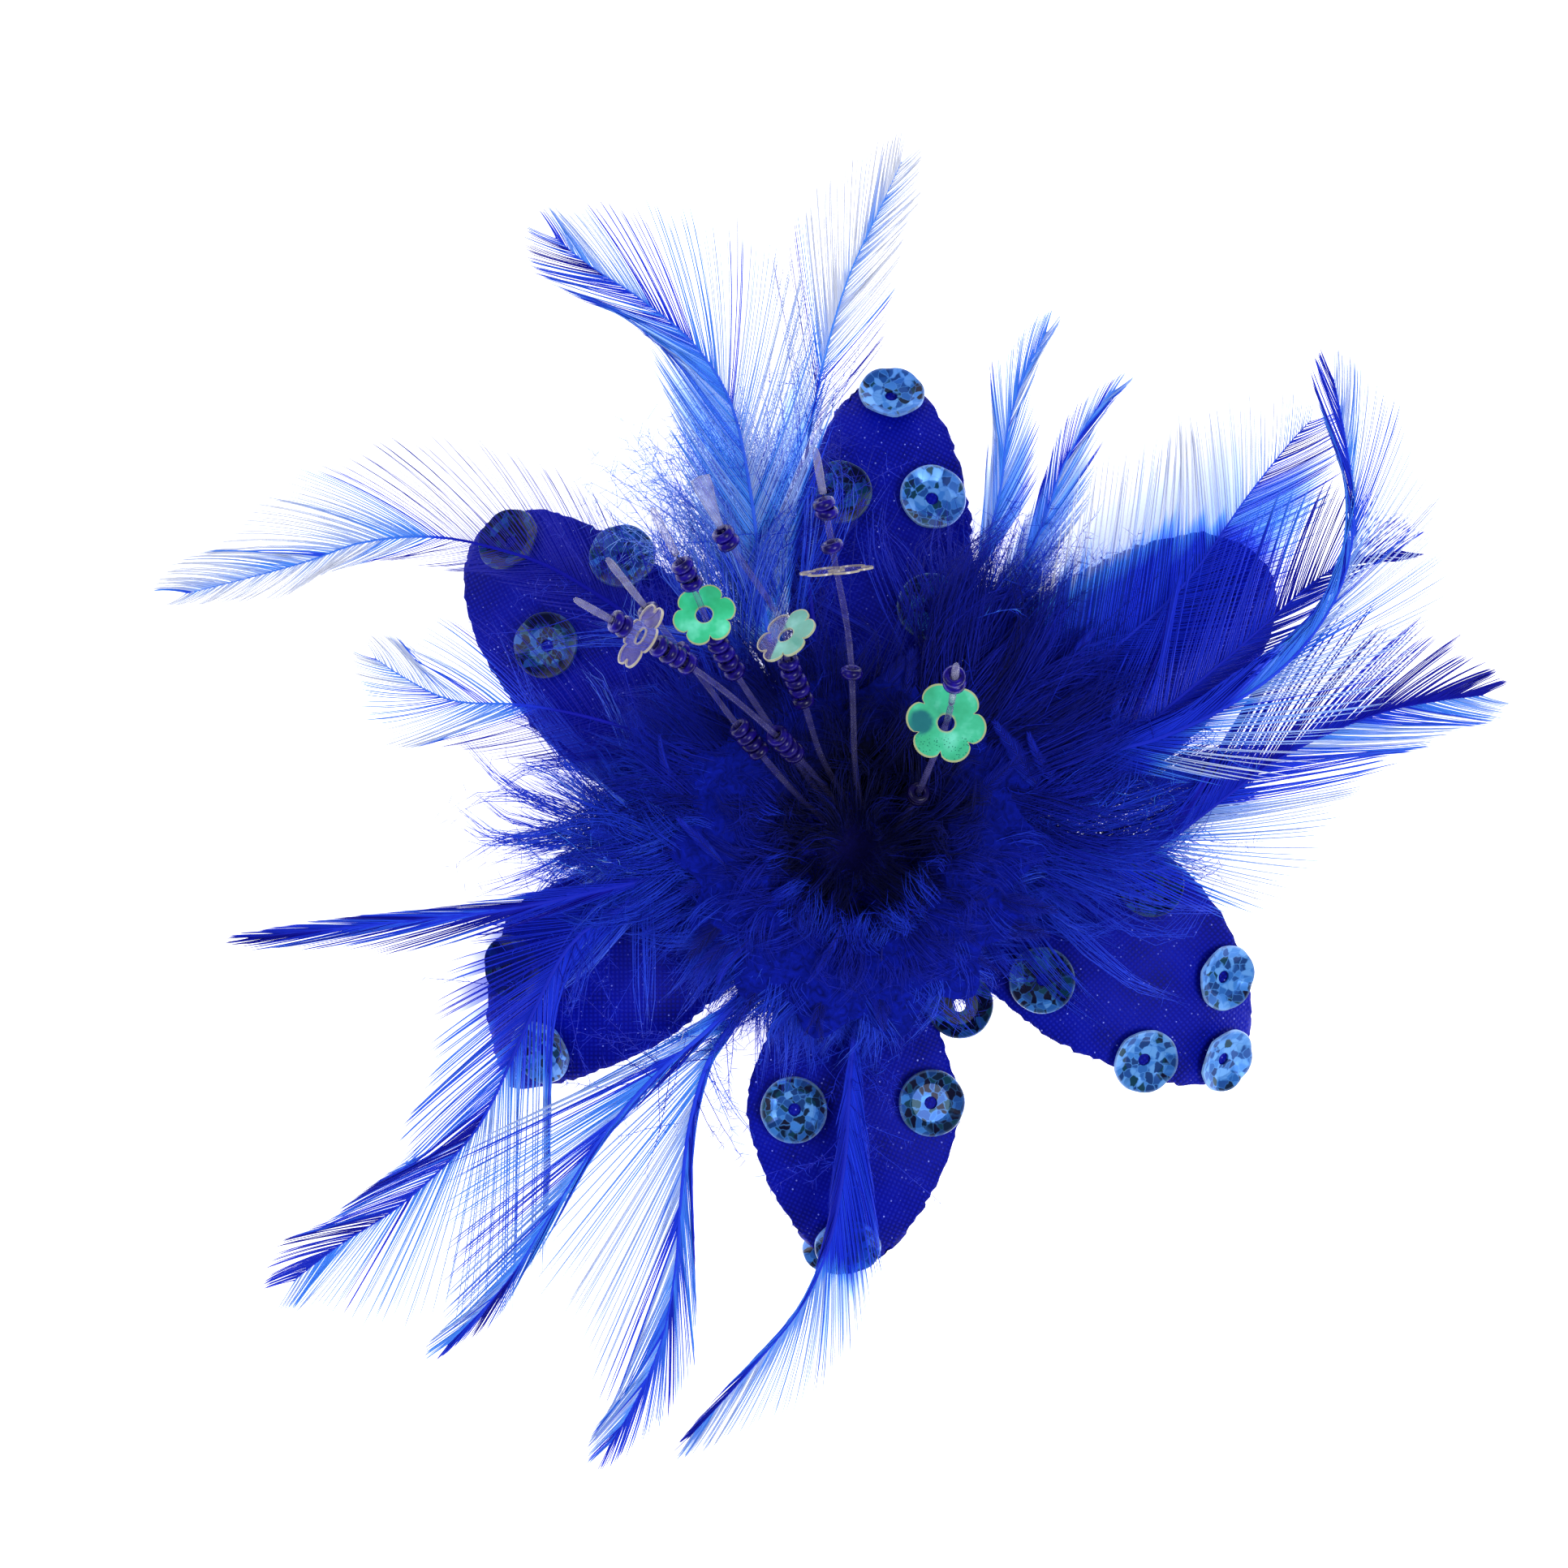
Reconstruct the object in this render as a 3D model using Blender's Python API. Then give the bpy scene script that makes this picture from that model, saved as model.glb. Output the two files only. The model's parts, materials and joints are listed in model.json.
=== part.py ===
"""A feather flower fascinator: six stiffened satin petals glued on a felt disc, with
cup sequins, beaded stamens, hackle feathers and a marabou ruff, over a hair clip.

The flower lies on its back. +Z is the way that it faces, and the origin is under the
middle of the clip, on the surface that the flower lies on. Sizes below are in
millimetres, and MM turns them to metres where a mesh or a curve is made.
"""

import math

import bmesh
import bpy
from mathutils import Quaternion, Vector

MM = 0.001
GAP = 0.3                      # clearance between pieces that touch
WEDGE_GAP = 0.4                # clearance between the roots of two petals

# Hidden back: the clip and the felt disc
CLIP_LENGTH = 46.0
CLIP_WIDTH = 9.0
CLIP_HEIGHT = 5.5
CLIP_NOSE_HEIGHT = 2.0
CLIP_SEAT_HALF = 12.0          # half length of the flat top that carries the disc
CLIP_HEEL_HEIGHT = 4.0
CLIP_EDGE = 0.6
BACKING_RADIUS = 20.0
BACKING_THICKNESS = 2.0
BACKING_EDGE = 0.4
BACKING_SIDES = 32

# Petals
PETAL_THICKNESS = 1.0
PETAL_ROOT = 4.7               # radius of the open middle where the stamens stand
PETAL_FLAT = 10.0              # the roots lie flat on the disc as far as this
PETAL_PEAK = 32.0              # distance out of the highest stretch
PETAL_RISE = 2.9
PETAL_CURL = 2.4               # power of the downward curl past the peak
PETAL_WIDEST = 30.0            # past this the outline closes to the tip
PETAL_WAIST = 0.68             # share of the full width where the roots part
PETAL_WAIST_START = 15.0
PETAL_WAIST_END = 34.0
PETAL_CROWN = 1.5              # how far the long edges droop below the middle line
PETAL_CROWN_START = 12.0
PETAL_CROWN_REACH = 15.0
PETAL_LEAST_WIDTH = 0.4
PETAL_LAST_ROW = 0.86          # the last cross row, as a share of the closing stretch
PETAL_ROWS = 12
PETAL_COLUMNS = 6
SLOPE_STEP = 0.5               # stride over which a petal's slope is taken

# Heights of the stack at the middle
BACKING_BOTTOM = CLIP_HEIGHT + GAP
BACKING_TOP = BACKING_BOTTOM + BACKING_THICKNESS
PETAL_ROOT_TOP = BACKING_TOP + GAP + PETAL_THICKNESS

# Feathers
VANE_THICKNESS = 0.5
QUILL_HALF_WIDTH = 0.5
QUILL_HEIGHT = PETAL_ROOT_TOP + GAP + VANE_THICKNESS / 2
ARCH_START = 9.0               # the feathers leave the disc at this radius
ARCH_SLOPE = 0.36
ARCH_BEND = 0.0045
LEVEL_STEP = 1.0               # height between feathers that cross
LEVEL_REACH = 12.0             # the levels are apart this far past the arch's start
LEVEL_SPREAD = 0.1             # further out the levels fan apart by this slope
LEVEL_SPREAD_START = 35.0
VANE_START = 0.12              # share of the length that is bare quill
VANE_RISE = 0.22
VANE_WIDEST = 0.45
VANE_NOTCH = 0.66              # width between two locks, as a share of the lock's
VANE_SWEEP = 0.55              # how far a lock's point leans to the tip
VANE_ROWS = 14
VANE_CROWDING = 1.25           # power that crowds the rows where the quill leaves the disc

# Sequins, beads and rods
CUP_RADIUS = 4.0
CUP_FLOOR_RADIUS = 2.2
CUP_HOLE_RADIUS = 0.8
CUP_DEPTH = 1.2
CUP_THICKNESS = 0.25
CUP_FACETS = 10
FLOWER_LOBES = 6
FLOWER_POINTS = 36
FLOWER_VALLEY = 0.74            # radius between two lobes, as a share of a lobe's
FLOWER_HOLE_RADIUS = 1.0
FLOWER_THICKNESS = 0.25
ROD_RADIUS = 0.45
BEAD_RADIUS = 1.35
BEAD_STEP = 0.25               # length over which a rod steps out to its beads
ROD_STATIONS = (0.0, 0.12, 0.24, 0.62, 0.95, 1.0)
STAMEN_FOOT = BACKING_TOP + 0.5   # a leaning rod's lower edge then clears the felt

RUFF_LOCKS = 14

# Each petal: the way it points in plan, its length from the middle, its half widths
# to the left and right of that line, how far its tip leans left, the power of its
# outline (2 is an ellipse, more is squarer), how much further its left corner
# reaches, and the height of its tip.
PETAL_FIELDS = ("name", "direction", "length", "left", "right", "lean", "power", "slant", "tip")
PETALS = [dict(zip(PETAL_FIELDS, row)) for row in (
    ("petal_top",          85.8, 58.5, 11.0, 11.9,  0.0, 2.0, 0.0, 1.7),
    ("petal_upper_left",  141.5, 61.0, 13.8, 12.3, -2.0, 2.2, 0.0, 1.7),
    ("petal_lower_left",  204.5, 50.0, 11.9, 11.5,  0.0, 3.6, 4.0, 4.0),
    ("petal_bottom",      269.5, 52.0, 13.2, 13.4,  0.0, 1.6, 0.0, 5.0),
    ("petal_lower_right", 334.5, 54.5, 16.0, 10.9, -3.5, 2.0, 0.0, 1.8),
    ("petal_upper_right",  33.5, 62.0, 13.5, 12.0,  1.0, 2.3, 0.0, 1.7),
)]

# Each cup sequin: its petal, and its place in plan.
CUP_SEQUINS = (
    ("petal_top", 4.4, 55.6), ("petal_top", 9.2, 42.8),
    ("petal_top", -2.0, 43.3), ("petal_top", 8.8, 29.8),
    ("petal_upper_left", -42.5, 37.7), ("petal_upper_left", -28.7, 35.5),
    ("petal_upper_left", -37.8, 24.8),
    ("petal_upper_right", 43.0, 32.0),
    ("petal_lower_right", 45.0, -15.8), ("petal_lower_right", 35.3, -25.8),
    ("petal_lower_right", 45.2, -26.0), ("petal_lower_right", 23.0, -16.1),
    ("petal_lower_right", 36.0, -4.5),
    ("petal_bottom", -7.5, -32.1), ("petal_bottom", 9.0, -31.3),
    ("petal_bottom", -1.0, -48.4), ("petal_bottom", 12.6, -19.4),
    ("petal_lower_left", -38.3, -24.7), ("petal_lower_left", -41.6, -14.5),
)
# One more sequin is glued under the bottom petal's tip and bends down past it.
TIP_SEQUIN_PLACE = (-2.6, -51.5)
TIP_SEQUIN_DROP = 0.7          # room for its rim under the curl of the petal

# Each feather: its level in the stack, the half widths of its vane to the left and
# right of the quill as it runs outwards, and the quill's route in plan.
FEATHERS = (
    ("feather_top", 2, 7.5, 7.5,
     ((-1.5, 8.5), (-5.4, 28.2), (-6.4, 43.7), (-4.9, 55.3), (-1.5, 67.9), (2.9, 77.7), (6.6, 85.8))),
    ("feather_top_left", 3, 8.0, 8.5,
     ((-4.0, 8.0), (-10.4, 24.2), (-12.7, 41.6), (-15.1, 53.1), (-19.4, 60.2), (-25.7, 65.6),
      (-32.4, 70.0), (-38.7, 75.2))),
    ("feather_left", 1, 5.0, 8.0,
     ((-7.0, 6.0), (-20.3, 22.3), (-35.0, 33.0), (-44.8, 36.7), (-52.6, 37.9), (-60.5, 37.1),
      (-66.5, 35.0), (-75.5, 32.6), (-85.7, 30.2))),
    ("feather_left_low", 2, 9.0, 9.0,
     ((-8.0, 2.5), (-20.3, 11.4), (-30.1, 15.3), (-39.8, 17.4), (-48.5, 17.9), (-54.3, 20.5),
      (-60.1, 24.4))),
    ("feather_lower_left_long", 3, 3.5, 3.5,
     ((-8.6, -0.2), (-20.3, -2.6), (-31.1, -5.0), (-42.6, -7.3), (-56.0, -8.8), (-65.5, -9.7),
      (-75.1, -10.7))),
    ("feather_lower_left_broad", 1, 9.5, 8.0,
     ((-7.3, -3.8), (-15.5, -5.2), (-26.0, -6.2), (-34.5, -11.2), (-40.1, -21.4), (-44.4, -30.9),
      (-47.9, -36.1), (-55.4, -43.2), (-63.4, -48.5), (-71.5, -55.0))),
    ("feather_low_left_closed", 2, 4.5, 4.0,
     ((-5.5, -6.5), (-11.4, -15.4), (-17.3, -21.3), (-25.1, -28.1), (-30.9, -34.8), (-36.7, -43.5),
      (-42.5, -52.3), (-51.3, -61.6))),
    ("feather_low", 0, 4.0, 9.0,
     ((-2.5, -8.0), (-11.4, -17.4), (-17.3, -24.3), (-20.3, -33.1), (-21.5, -43.0), (-22.1, -50.9),
      (-23.8, -59.9), (-27.3, -68.0), (-31.9, -75.8))),
    ("feather_bottom", 1, 4.5, 3.0,
     ((0.2, -8.5), (-0.3, -20.4), (-1.0, -30.2), (-1.5, -38.0), (-3.4, -47.8), (-6.9, -55.6),
      (-13.3, -63.5), (-22.2, -73.4))),
    ("feather_top_right_inner", 0, 3.5, 4.0,
     ((2.5, 8.0), (9.4, 22.3), (14.8, 34.1), (17.5, 44.0), (18.3, 50.9), (20.5, 57.9), (24.3, 65.2))),
    ("feather_top_right_outer", 1, 4.0, 4.5,
     ((4.3, 7.0), (12.4, 18.4), (19.3, 32.1), (22.7, 39.9), (25.1, 46.7), (28.5, 52.6), (32.8, 57.4))),
    ("feather_right_upper", 2, 12.0, 8.0,
     ((6.0, 6.0), (17.3, 13.9), (29.1, 22.8), (39.0, 31.5), (46.9, 42.5), (52.3, 49.3), (56.6, 53.7))),
    ("feather_right_upright", 4, 3.5, 5.0,
     ((6.8, 4.8), (21.8, 10.6), (35.8, 13.2), (49.0, 20.4), (56.4, 29.4), (58.7, 39.0), (57.6, 48.5),
      (55.3, 59.2))),
    ("feather_right_mid", 3, 7.0, 8.0,
     ((7.7, 2.4), (20.3, 6.2), (32.7, 13.0), (38.0, 17.6), (44.8, 23.4), (49.2, 27.4), (54.4, 32.0),
      (58.9, 34.6), (67.6, 36.3))),
    ("feather_right_broad", 1, 9.0, 9.0,
     ((8.0, 0.5), (19.4, -1.0), (29.2, -1.0), (36.5, 0.4), (42.9, 4.9), (49.8, 10.1), (56.8, 13.9),
      (63.8, 16.6), (70.7, 18.0), (81.7, 19.3))),
)

# Each stamen: the route of its rod from the felt disc to the tip, and the stretches
# that carry seed beads, as shares of that length.
STAMENS = (
    ("stamen_a", ((-0.8, 2.5, STAMEN_FOOT), (-2.2, 5.2, 15.5), (-8.6, 12.5, 28.5), (-19.4, 21.4, 39.0),
                  (-33.2, 29.3, 48.5)), ((0.36, 0.45), (0.70, 0.80), (0.865, 0.905))),
    ("stamen_b", ((-2.5, 0.6, STAMEN_FOOT), (-4.0, 3.4, 15.0), (-8.3, 7.6, 24.0), (-14.4, 14.8, 29.3),
                  (-19.4, 21.4, 33.2), (-29.7, 34.4, 40.5)), ((0.43, 0.52), (0.72, 0.75), (0.82, 0.86))),
    ("stamen_c", ((-2.2, 2.0, STAMEN_FOOT), (-3.6, 5.2, 15.0), (-7.0, 10.0, 22.6), (-11.8, 16.7, 28.5),
                  (-17.1, 25.1, 35.4), (-19.4, 30.6, 39.4), (-24.3, 40.0, 45.0)),
     ((0.57, 0.69), (0.80, 0.87))),
    ("stamen_d", ((0.4, 2.6, STAMEN_FOOT), (-1.2, 5.8, 15.0), (-4.4, 11.2, 23.2), (-6.6, 17.9, 28.6),
                  (-8.4, 22.2, 32.0), (-9.3, 27.2, 35.5), (-15.7, 36.8, 41.0), (-18.8, 43.7, 44.0)),
     ((0.44, 0.56), (0.84, 0.88))),
    ("stamen_e", ((1.7, 2.0, STAMEN_FOOT), (0.8, 5.0, 15.0), (-0.3, 9.6, 22.5), (-1.1, 23.9, 34.0),
                  (-3.3, 35.8, 40.0), (-5.3, 47.0, 45.0)), ((0.50, 0.53), (0.78, 0.81), (0.855, 0.89))),
    ("stamen_f", ((2.6, 0.0, STAMEN_FOOT), (5.2, 3.0, 15.5), (7.3, 6.9, 24.0), (10.1, 15.5, 44.5),
                  (10.7, 21.6, 57.0)), ((0.30, 0.34), (0.90, 0.95))),
)

# Each flower sequin: its stamen, its place as a share of the rod's length, its
# diameter, and the way that it faces.
FLOWER_SEQUINS = (
    ("flower_sequin_a", "stamen_a", 0.835, 8.6, (-0.78, 0.45, 0.42)),
    ("flower_sequin_c", "stamen_c", 0.735, 7.6, (-0.10, 0.30, 0.95)),
    ("flower_sequin_d", "stamen_d", 0.615, 8.0, (-0.50, 0.62, 0.60)),
    ("flower_sequin_e", "stamen_e", 0.745, 8.8, (-0.10, 0.98, 0.14)),
    ("flower_sequin_f", "stamen_f", 0.72, 9.5, (0.02, 0.10, 1.00)),
)

# The ruff's cross section, from its seat on the quills round its hole, crest and
# outer points and back under: radius, height, and how far its locks push each out.
RUFF_SECTION = (
    ("seat_inner", 6.8, 10.3, 0.0),
    ("hole_waist", 8.6, 15.0, 0.3),
    ("hole_rim", 12.4, 20.8, 0.9),
    ("crest", 16.5, 22.6, 1.2),
    ("lock_points", 24.5, 20.6, 3.2),
    ("under_outer", 21.0, 18.3, 0.0),
    ("under_middle", 18.0, 16.8, 0.0),
    ("under_inner", 15.0, 14.8, 0.0),
    ("seat_outer", 9.8, 10.9, 0.0),
)


def clear_scene():
    """Remove the objects that the file opens with."""
    for old in list(bpy.data.objects):
        bpy.data.objects.remove(old, do_unlink=True)


def plain_material(name, colour, roughness, metallic=0.0):
    """A Principled material with one colour."""
    material = bpy.data.materials.new(name)
    material.use_nodes = True
    shader = material.node_tree.nodes["Principled BSDF"]
    shader.inputs["Base Color"].default_value = (*colour, 1.0)
    shader.inputs["Roughness"].default_value = roughness
    shader.inputs["Metallic"].default_value = metallic
    return material


def new_object(name, data, material):
    """Link an object with its material and shade a mesh smooth where it is round."""
    data.materials.append(material)
    piece = bpy.data.objects.new(name, data)
    bpy.context.scene.collection.objects.link(piece)
    if isinstance(data, bpy.types.Mesh):
        data.shade_smooth()
        data.set_sharp_from_angle(angle=math.radians(40))
    return piece


def mesh_from(name, bm):
    """Turn a bmesh in millimetres into a mesh in metres."""
    bmesh.ops.scale(bm, vec=(MM, MM, MM), verts=bm.verts)
    mesh = bpy.data.meshes.new(name)
    bm.to_mesh(mesh)
    bm.free()
    return mesh


def thicken(piece, thickness):
    """Give a sheet its wall, half to each side."""
    wall = piece.modifiers.new("wall", "SOLIDIFY")
    wall.thickness = thickness * MM
    wall.offset = 0.0
    wall.use_even_offset = True


def ease(share):
    """A smooth step from 0 to 1."""
    share = min(max(share, 0.0), 1.0)
    return share * share * (3.0 - 2.0 * share)


def petal_named(name):
    """The row of one petal."""
    return next(petal for petal in PETALS if petal["name"] == name)


def neighbour_angle(petal, side):
    """Half the angle to the next petal on the left (+1) or the right (-1)."""
    turns = [((other["direction"] - petal["direction"]) * side) % 360.0
             for other in PETALS if other is not petal]
    return math.radians(min(turns) / 2)


def petal_closing(petal, along):
    """How far along the closing stretch a point is, from 0 to 1."""
    return min(max((along - PETAL_WIDEST) / (petal["length"] - PETAL_WIDEST), 0.0), 1.0)


def petal_half_width(petal, along, side):
    """Half width on one side: a wedge at the root, a waist, then a rounded end."""
    full = petal["left"] if side > 0 else petal["right"]
    past_roots = (along - PETAL_WAIST_START) / (PETAL_WAIST_END - PETAL_WAIST_START)
    waist = PETAL_WAIST + (1 - PETAL_WAIST) * ease(past_roots)
    power = petal["power"]
    closing = (1 - petal_closing(petal, along) ** power) ** (1 / power)
    half_angle = neighbour_angle(petal, side)
    wedge = along * math.tan(half_angle) - WEDGE_GAP / 2 / math.cos(half_angle)
    return max(min(full * waist * closing, wedge), PETAL_LEAST_WIDTH)


def petal_lean(petal, along):
    """How far the petal's middle line has moved to its left."""
    return petal["lean"] * petal_closing(petal, along) ** 2


def petal_height(petal, along, across):
    """Height of the middle of the petal's wall."""
    rise = PETAL_RISE * ease((along - PETAL_FLAT) / (PETAL_PEAK - PETAL_FLAT))
    past = max((along - PETAL_PEAK) / (petal["length"] - PETAL_PEAK), 0.0)
    fall = (PETAL_ROOT_TOP + PETAL_RISE - petal["tip"]) * past ** PETAL_CURL
    full = petal["left"] if across > 0 else petal["right"]
    sideways = (across - petal_lean(petal, along)) / full
    droop = PETAL_CROWN * ease((along - PETAL_CROWN_START) / PETAL_CROWN_REACH) * sideways ** 2
    return PETAL_ROOT_TOP - PETAL_THICKNESS / 2 + rise - fall - droop


def make_petal(petal, material):
    """A satin petal: a grid laid along its line, then given its wall."""
    bm = bmesh.new()
    bmesh.ops.create_grid(bm, x_segments=PETAL_ROWS, y_segments=PETAL_COLUMNS, size=0.5)
    last_row = PETAL_WIDEST + PETAL_LAST_ROW * (petal["length"] - PETAL_WIDEST)
    for vert in bm.verts:
        share = vert.co.x + 0.5
        side = 2 * vert.co.y
        row = PETAL_ROOT + share * (last_row - PETAL_ROOT)
        bulge = (petal["length"] - last_row) * share ** 4 * (1 - side * side)
        along = row + bulge + petal["slant"] * side * share ** 4
        half = petal_half_width(petal, row, 1 if side > 0 else -1)
        across = side * half + petal_lean(petal, row)
        vert.co = (along, across, petal_height(petal, along, across))
    piece = new_object(petal["name"], mesh_from(petal["name"], bm), material)
    thicken(piece, PETAL_THICKNESS)
    piece.rotation_euler.z = math.radians(petal["direction"])
    return piece


def petal_frame(petal, x, y):
    """The point on the petal's middle surface over a place in plan, and its normal."""
    turn = math.radians(petal["direction"])
    along = x * math.cos(turn) + y * math.sin(turn)
    across = -x * math.sin(turn) + y * math.cos(turn)
    height = petal_height(petal, along, across)
    step = SLOPE_STEP
    rise_along = petal_height(petal, along + step, across) - petal_height(petal, along - step, across)
    rise_across = petal_height(petal, along, across + step) - petal_height(petal, along, across - step)
    normal = Vector((-rise_along, -rise_across, 2 * step)).normalized()
    normal.rotate(Quaternion((0, 0, 1), turn))
    return Vector((x, y, height)), normal


def make_cup_mesh():
    """A cup sequin: a flat floor with a hole and a ring of sloping facets."""
    bm = bmesh.new()
    section = [bm.verts.new(place) for place in (
        (CUP_HOLE_RADIUS, 0, 0), (CUP_FLOOR_RADIUS, 0, 0), (CUP_RADIUS, 0, CUP_DEPTH))]
    edges = [bm.edges.new(pair) for pair in zip(section, section[1:])]
    bmesh.ops.spin(bm, geom=section + edges, cent=(0, 0, 0), axis=(0, 0, 1),
                   angle=math.tau, steps=CUP_FACETS, use_merge=True)
    bmesh.ops.recalc_face_normals(bm, faces=bm.faces)
    if sum(face.normal.z for face in bm.faces) < 0:
        bmesh.ops.reverse_faces(bm, faces=bm.faces)
    return mesh_from("cup_sequin", bm)


def place_facing(piece, place, facing):
    """Put a piece at a place with its own upright axis along a direction."""
    piece.rotation_mode = "QUATERNION"
    piece.rotation_quaternion = Vector((0, 0, 1)).rotation_difference(Vector(facing).normalized())
    piece.location = Vector(place) * MM


def make_cup_sequins(material):
    """The sequins on the petals, and the one under the bottom petal's tip."""
    mesh = make_cup_mesh()
    mesh.materials.append(material)
    mesh.shade_smooth()
    mesh.set_sharp_from_angle(angle=math.radians(20))
    clear = PETAL_THICKNESS / 2 + GAP + CUP_THICKNESS / 2
    counts = {}
    rows = [(name, x, y, clear) for name, x, y in CUP_SEQUINS]
    rows.append(("petal_bottom", *TIP_SEQUIN_PLACE, -clear - CUP_DEPTH - TIP_SEQUIN_DROP))
    for petal_name, x, y, lift in rows:
        counts[petal_name] = counts.get(petal_name, 0) + 1
        name = petal_name.replace("petal", "sequin") + "_" + str(counts[petal_name])
        piece = bpy.data.objects.new(name, mesh)
        bpy.context.scene.collection.objects.link(piece)
        point, normal = petal_frame(petal_named(petal_name), x, y)
        place_facing(piece, point + normal * lift, normal)
        thicken(piece, CUP_THICKNESS)


def smooth_route(points, per_stretch=12):
    """A Catmull-Rom curve through a list of points, as closely spaced points."""
    knots = [Vector(point) for point in points]
    knots = [2 * knots[0] - knots[1]] + knots + [2 * knots[-1] - knots[-2]]
    route = []
    for a, b, c, d in zip(knots, knots[1:], knots[2:], knots[3:]):
        for step in range(per_stretch):
            t = step / per_stretch
            route.append(0.5 * (2 * b + (c - a) * t + (2 * a - 5 * b + 4 * c - d) * t * t
                                + (3 * b - a - 3 * c + d) * t ** 3))
    return route + [knots[-2]]


def along_route(route, share):
    """The point and direction at a share of a route's length."""
    lengths = [(b - a).length for a, b in zip(route, route[1:])]
    left = min(max(share, 0.0), 1.0) * sum(lengths)
    for a, b, length in zip(route, route[1:], lengths):
        if left <= length:
            break
        left -= length
    return a.lerp(b, min(left / length, 1.0)), (b - a).normalized()


def arch_height(x, y, level):
    """Height of a feather over a place in plan: all levels share one arch."""
    out = max(math.hypot(x, y) - ARCH_START, 0.0)
    spread = LEVEL_SPREAD * max(out + ARCH_START - LEVEL_SPREAD_START, 0.0)
    return (QUILL_HEIGHT + ARCH_SLOPE * out - ARCH_BEND * out * out
            + level * LEVEL_STEP * (ease(out / LEVEL_REACH) + spread))


def vane_half_width(share, full):
    """Half width of the vane: bare quill, a quick rise, then a long taper."""
    rise = ease((share - VANE_START) / VANE_RISE)
    past = max(share - VANE_WIDEST, 0.0) / (1 - VANE_WIDEST)
    return QUILL_HALF_WIDTH + (full - QUILL_HALF_WIDTH) * rise * math.sqrt(1 - past * past)


def make_feather(name, level, left, right, points, material):
    """A feather: a quill line with a lock of barbs at every other row on each side."""
    route = smooth_route([(x, y, 0) for x, y in points])
    bm = bmesh.new()
    bmesh.ops.create_grid(bm, x_segments=VANE_ROWS, y_segments=2, size=0.5)
    for vert in bm.verts:
        row = round((vert.co.x + 0.5) * VANE_ROWS)
        share = (row / VANE_ROWS) ** VANE_CROWDING
        side = round(2 * vert.co.y)
        point, forward = along_route(route, share)
        across = Vector((-forward.y, forward.x, 0)) * side
        width = vane_half_width(share, left if side > 0 else right)
        if row % 2 == 0 and width > 2 * QUILL_HALF_WIDTH:
            width *= VANE_NOTCH
        sweep = VANE_SWEEP * (width - QUILL_HALF_WIDTH) * abs(side)
        place = point + across * width + forward * sweep
        vert.co = (place.x, place.y, arch_height(place.x, place.y, level))
    piece = new_object(name, mesh_from(name, bm), material)
    thicken(piece, VANE_THICKNESS)
    return piece


def stamen_routes():
    """The smooth route of every rod, by its stamen's name."""
    return {name: smooth_route(points) for name, points, _ in STAMENS}


def make_stamen(name, route, bead_runs, material):
    """A clear rod that steps out to the beads threaded on it."""
    length = sum((b - a).length for a, b in zip(route, route[1:]))
    step = BEAD_STEP / length
    stations = {}
    for start, end in bead_runs:
        stations.update({start - step: ROD_RADIUS, start: BEAD_RADIUS,
                         end: BEAD_RADIUS, end + step: ROD_RADIUS})
    for share in ROD_STATIONS:
        if not any(start - 2 * step < share < end + 2 * step for start, end in bead_runs):
            stations[share] = ROD_RADIUS
    curve = bpy.data.curves.new(name, "CURVE")
    curve.dimensions = "3D"
    curve.bevel_depth = MM
    curve.bevel_resolution = 3
    curve.use_fill_caps = True
    spline = curve.splines.new("POLY")
    spline.points.add(len(stations) - 1)
    for point, share in zip(spline.points, sorted(stations)):
        place, _ = along_route(route, share)
        point.co = (*(place * MM), 1.0)
        point.radius = stations[share]
    return new_object(name, curve, material)


def make_flower_mesh(diameter):
    """A flat sequin with round lobes and a hole, between two rings of points."""
    bm = bmesh.new()
    rings = []
    for hole in (True, False):
        ring = bmesh.ops.create_circle(bm, segments=FLOWER_POINTS, radius=1.0)["verts"]
        for vert in ring:
            angle = math.atan2(vert.co.y, vert.co.x)
            bulge = math.sqrt(abs(math.cos(angle * FLOWER_LOBES / 2)))
            lobe = FLOWER_VALLEY + (1 - FLOWER_VALLEY) * bulge
            radius = FLOWER_HOLE_RADIUS if hole else diameter / 2 * lobe
            vert.co = (radius * math.cos(angle), radius * math.sin(angle), 0)
        rings += list({edge for vert in ring for edge in vert.link_edges})
    bmesh.ops.bridge_loops(bm, edges=rings)
    bmesh.ops.recalc_face_normals(bm, faces=bm.faces)
    return mesh_from("flower_sequin", bm)


def make_flower_sequins(routes, material):
    """The flower sequins, each round its rod."""
    for name, stamen, share, diameter, facing in FLOWER_SEQUINS:
        piece = new_object(name, make_flower_mesh(diameter), material)
        thicken(piece, FLOWER_THICKNESS)
        place_facing(piece, along_route(routes[stamen], share)[0], facing)


def make_ruff(material):
    """The marabou ruff: its section spun round, with the locks pushed out in turn."""
    bm = bmesh.new()
    section = [bm.verts.new((radius, 0, height)) for _, radius, height, _ in RUFF_SECTION]
    edges = [bm.edges.new(pair) for pair in zip(section, section[1:] + section[:1])]
    steps = 2 * RUFF_LOCKS
    bmesh.ops.spin(bm, geom=section + edges, cent=(0, 0, 0), axis=(0, 0, 1),
                   angle=math.tau, steps=steps, use_merge=True)
    for vert in bm.verts:
        angle = math.atan2(vert.co.y, vert.co.x)
        reach = min(RUFF_SECTION, key=lambda row: abs(row[2] - vert.co.z))[3]
        radius = math.hypot(vert.co.x, vert.co.y)
        push = reach * (0.5 + 0.5 * math.cos(angle * RUFF_LOCKS) + 0.2 * math.sin(3 * angle))
        vert.co.x *= (radius + push) / radius
        vert.co.y *= (radius + push) / radius
    bmesh.ops.recalc_face_normals(bm, faces=bm.faces)
    return new_object("marabou_ruff", mesh_from("marabou_ruff", bm), material)


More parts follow.
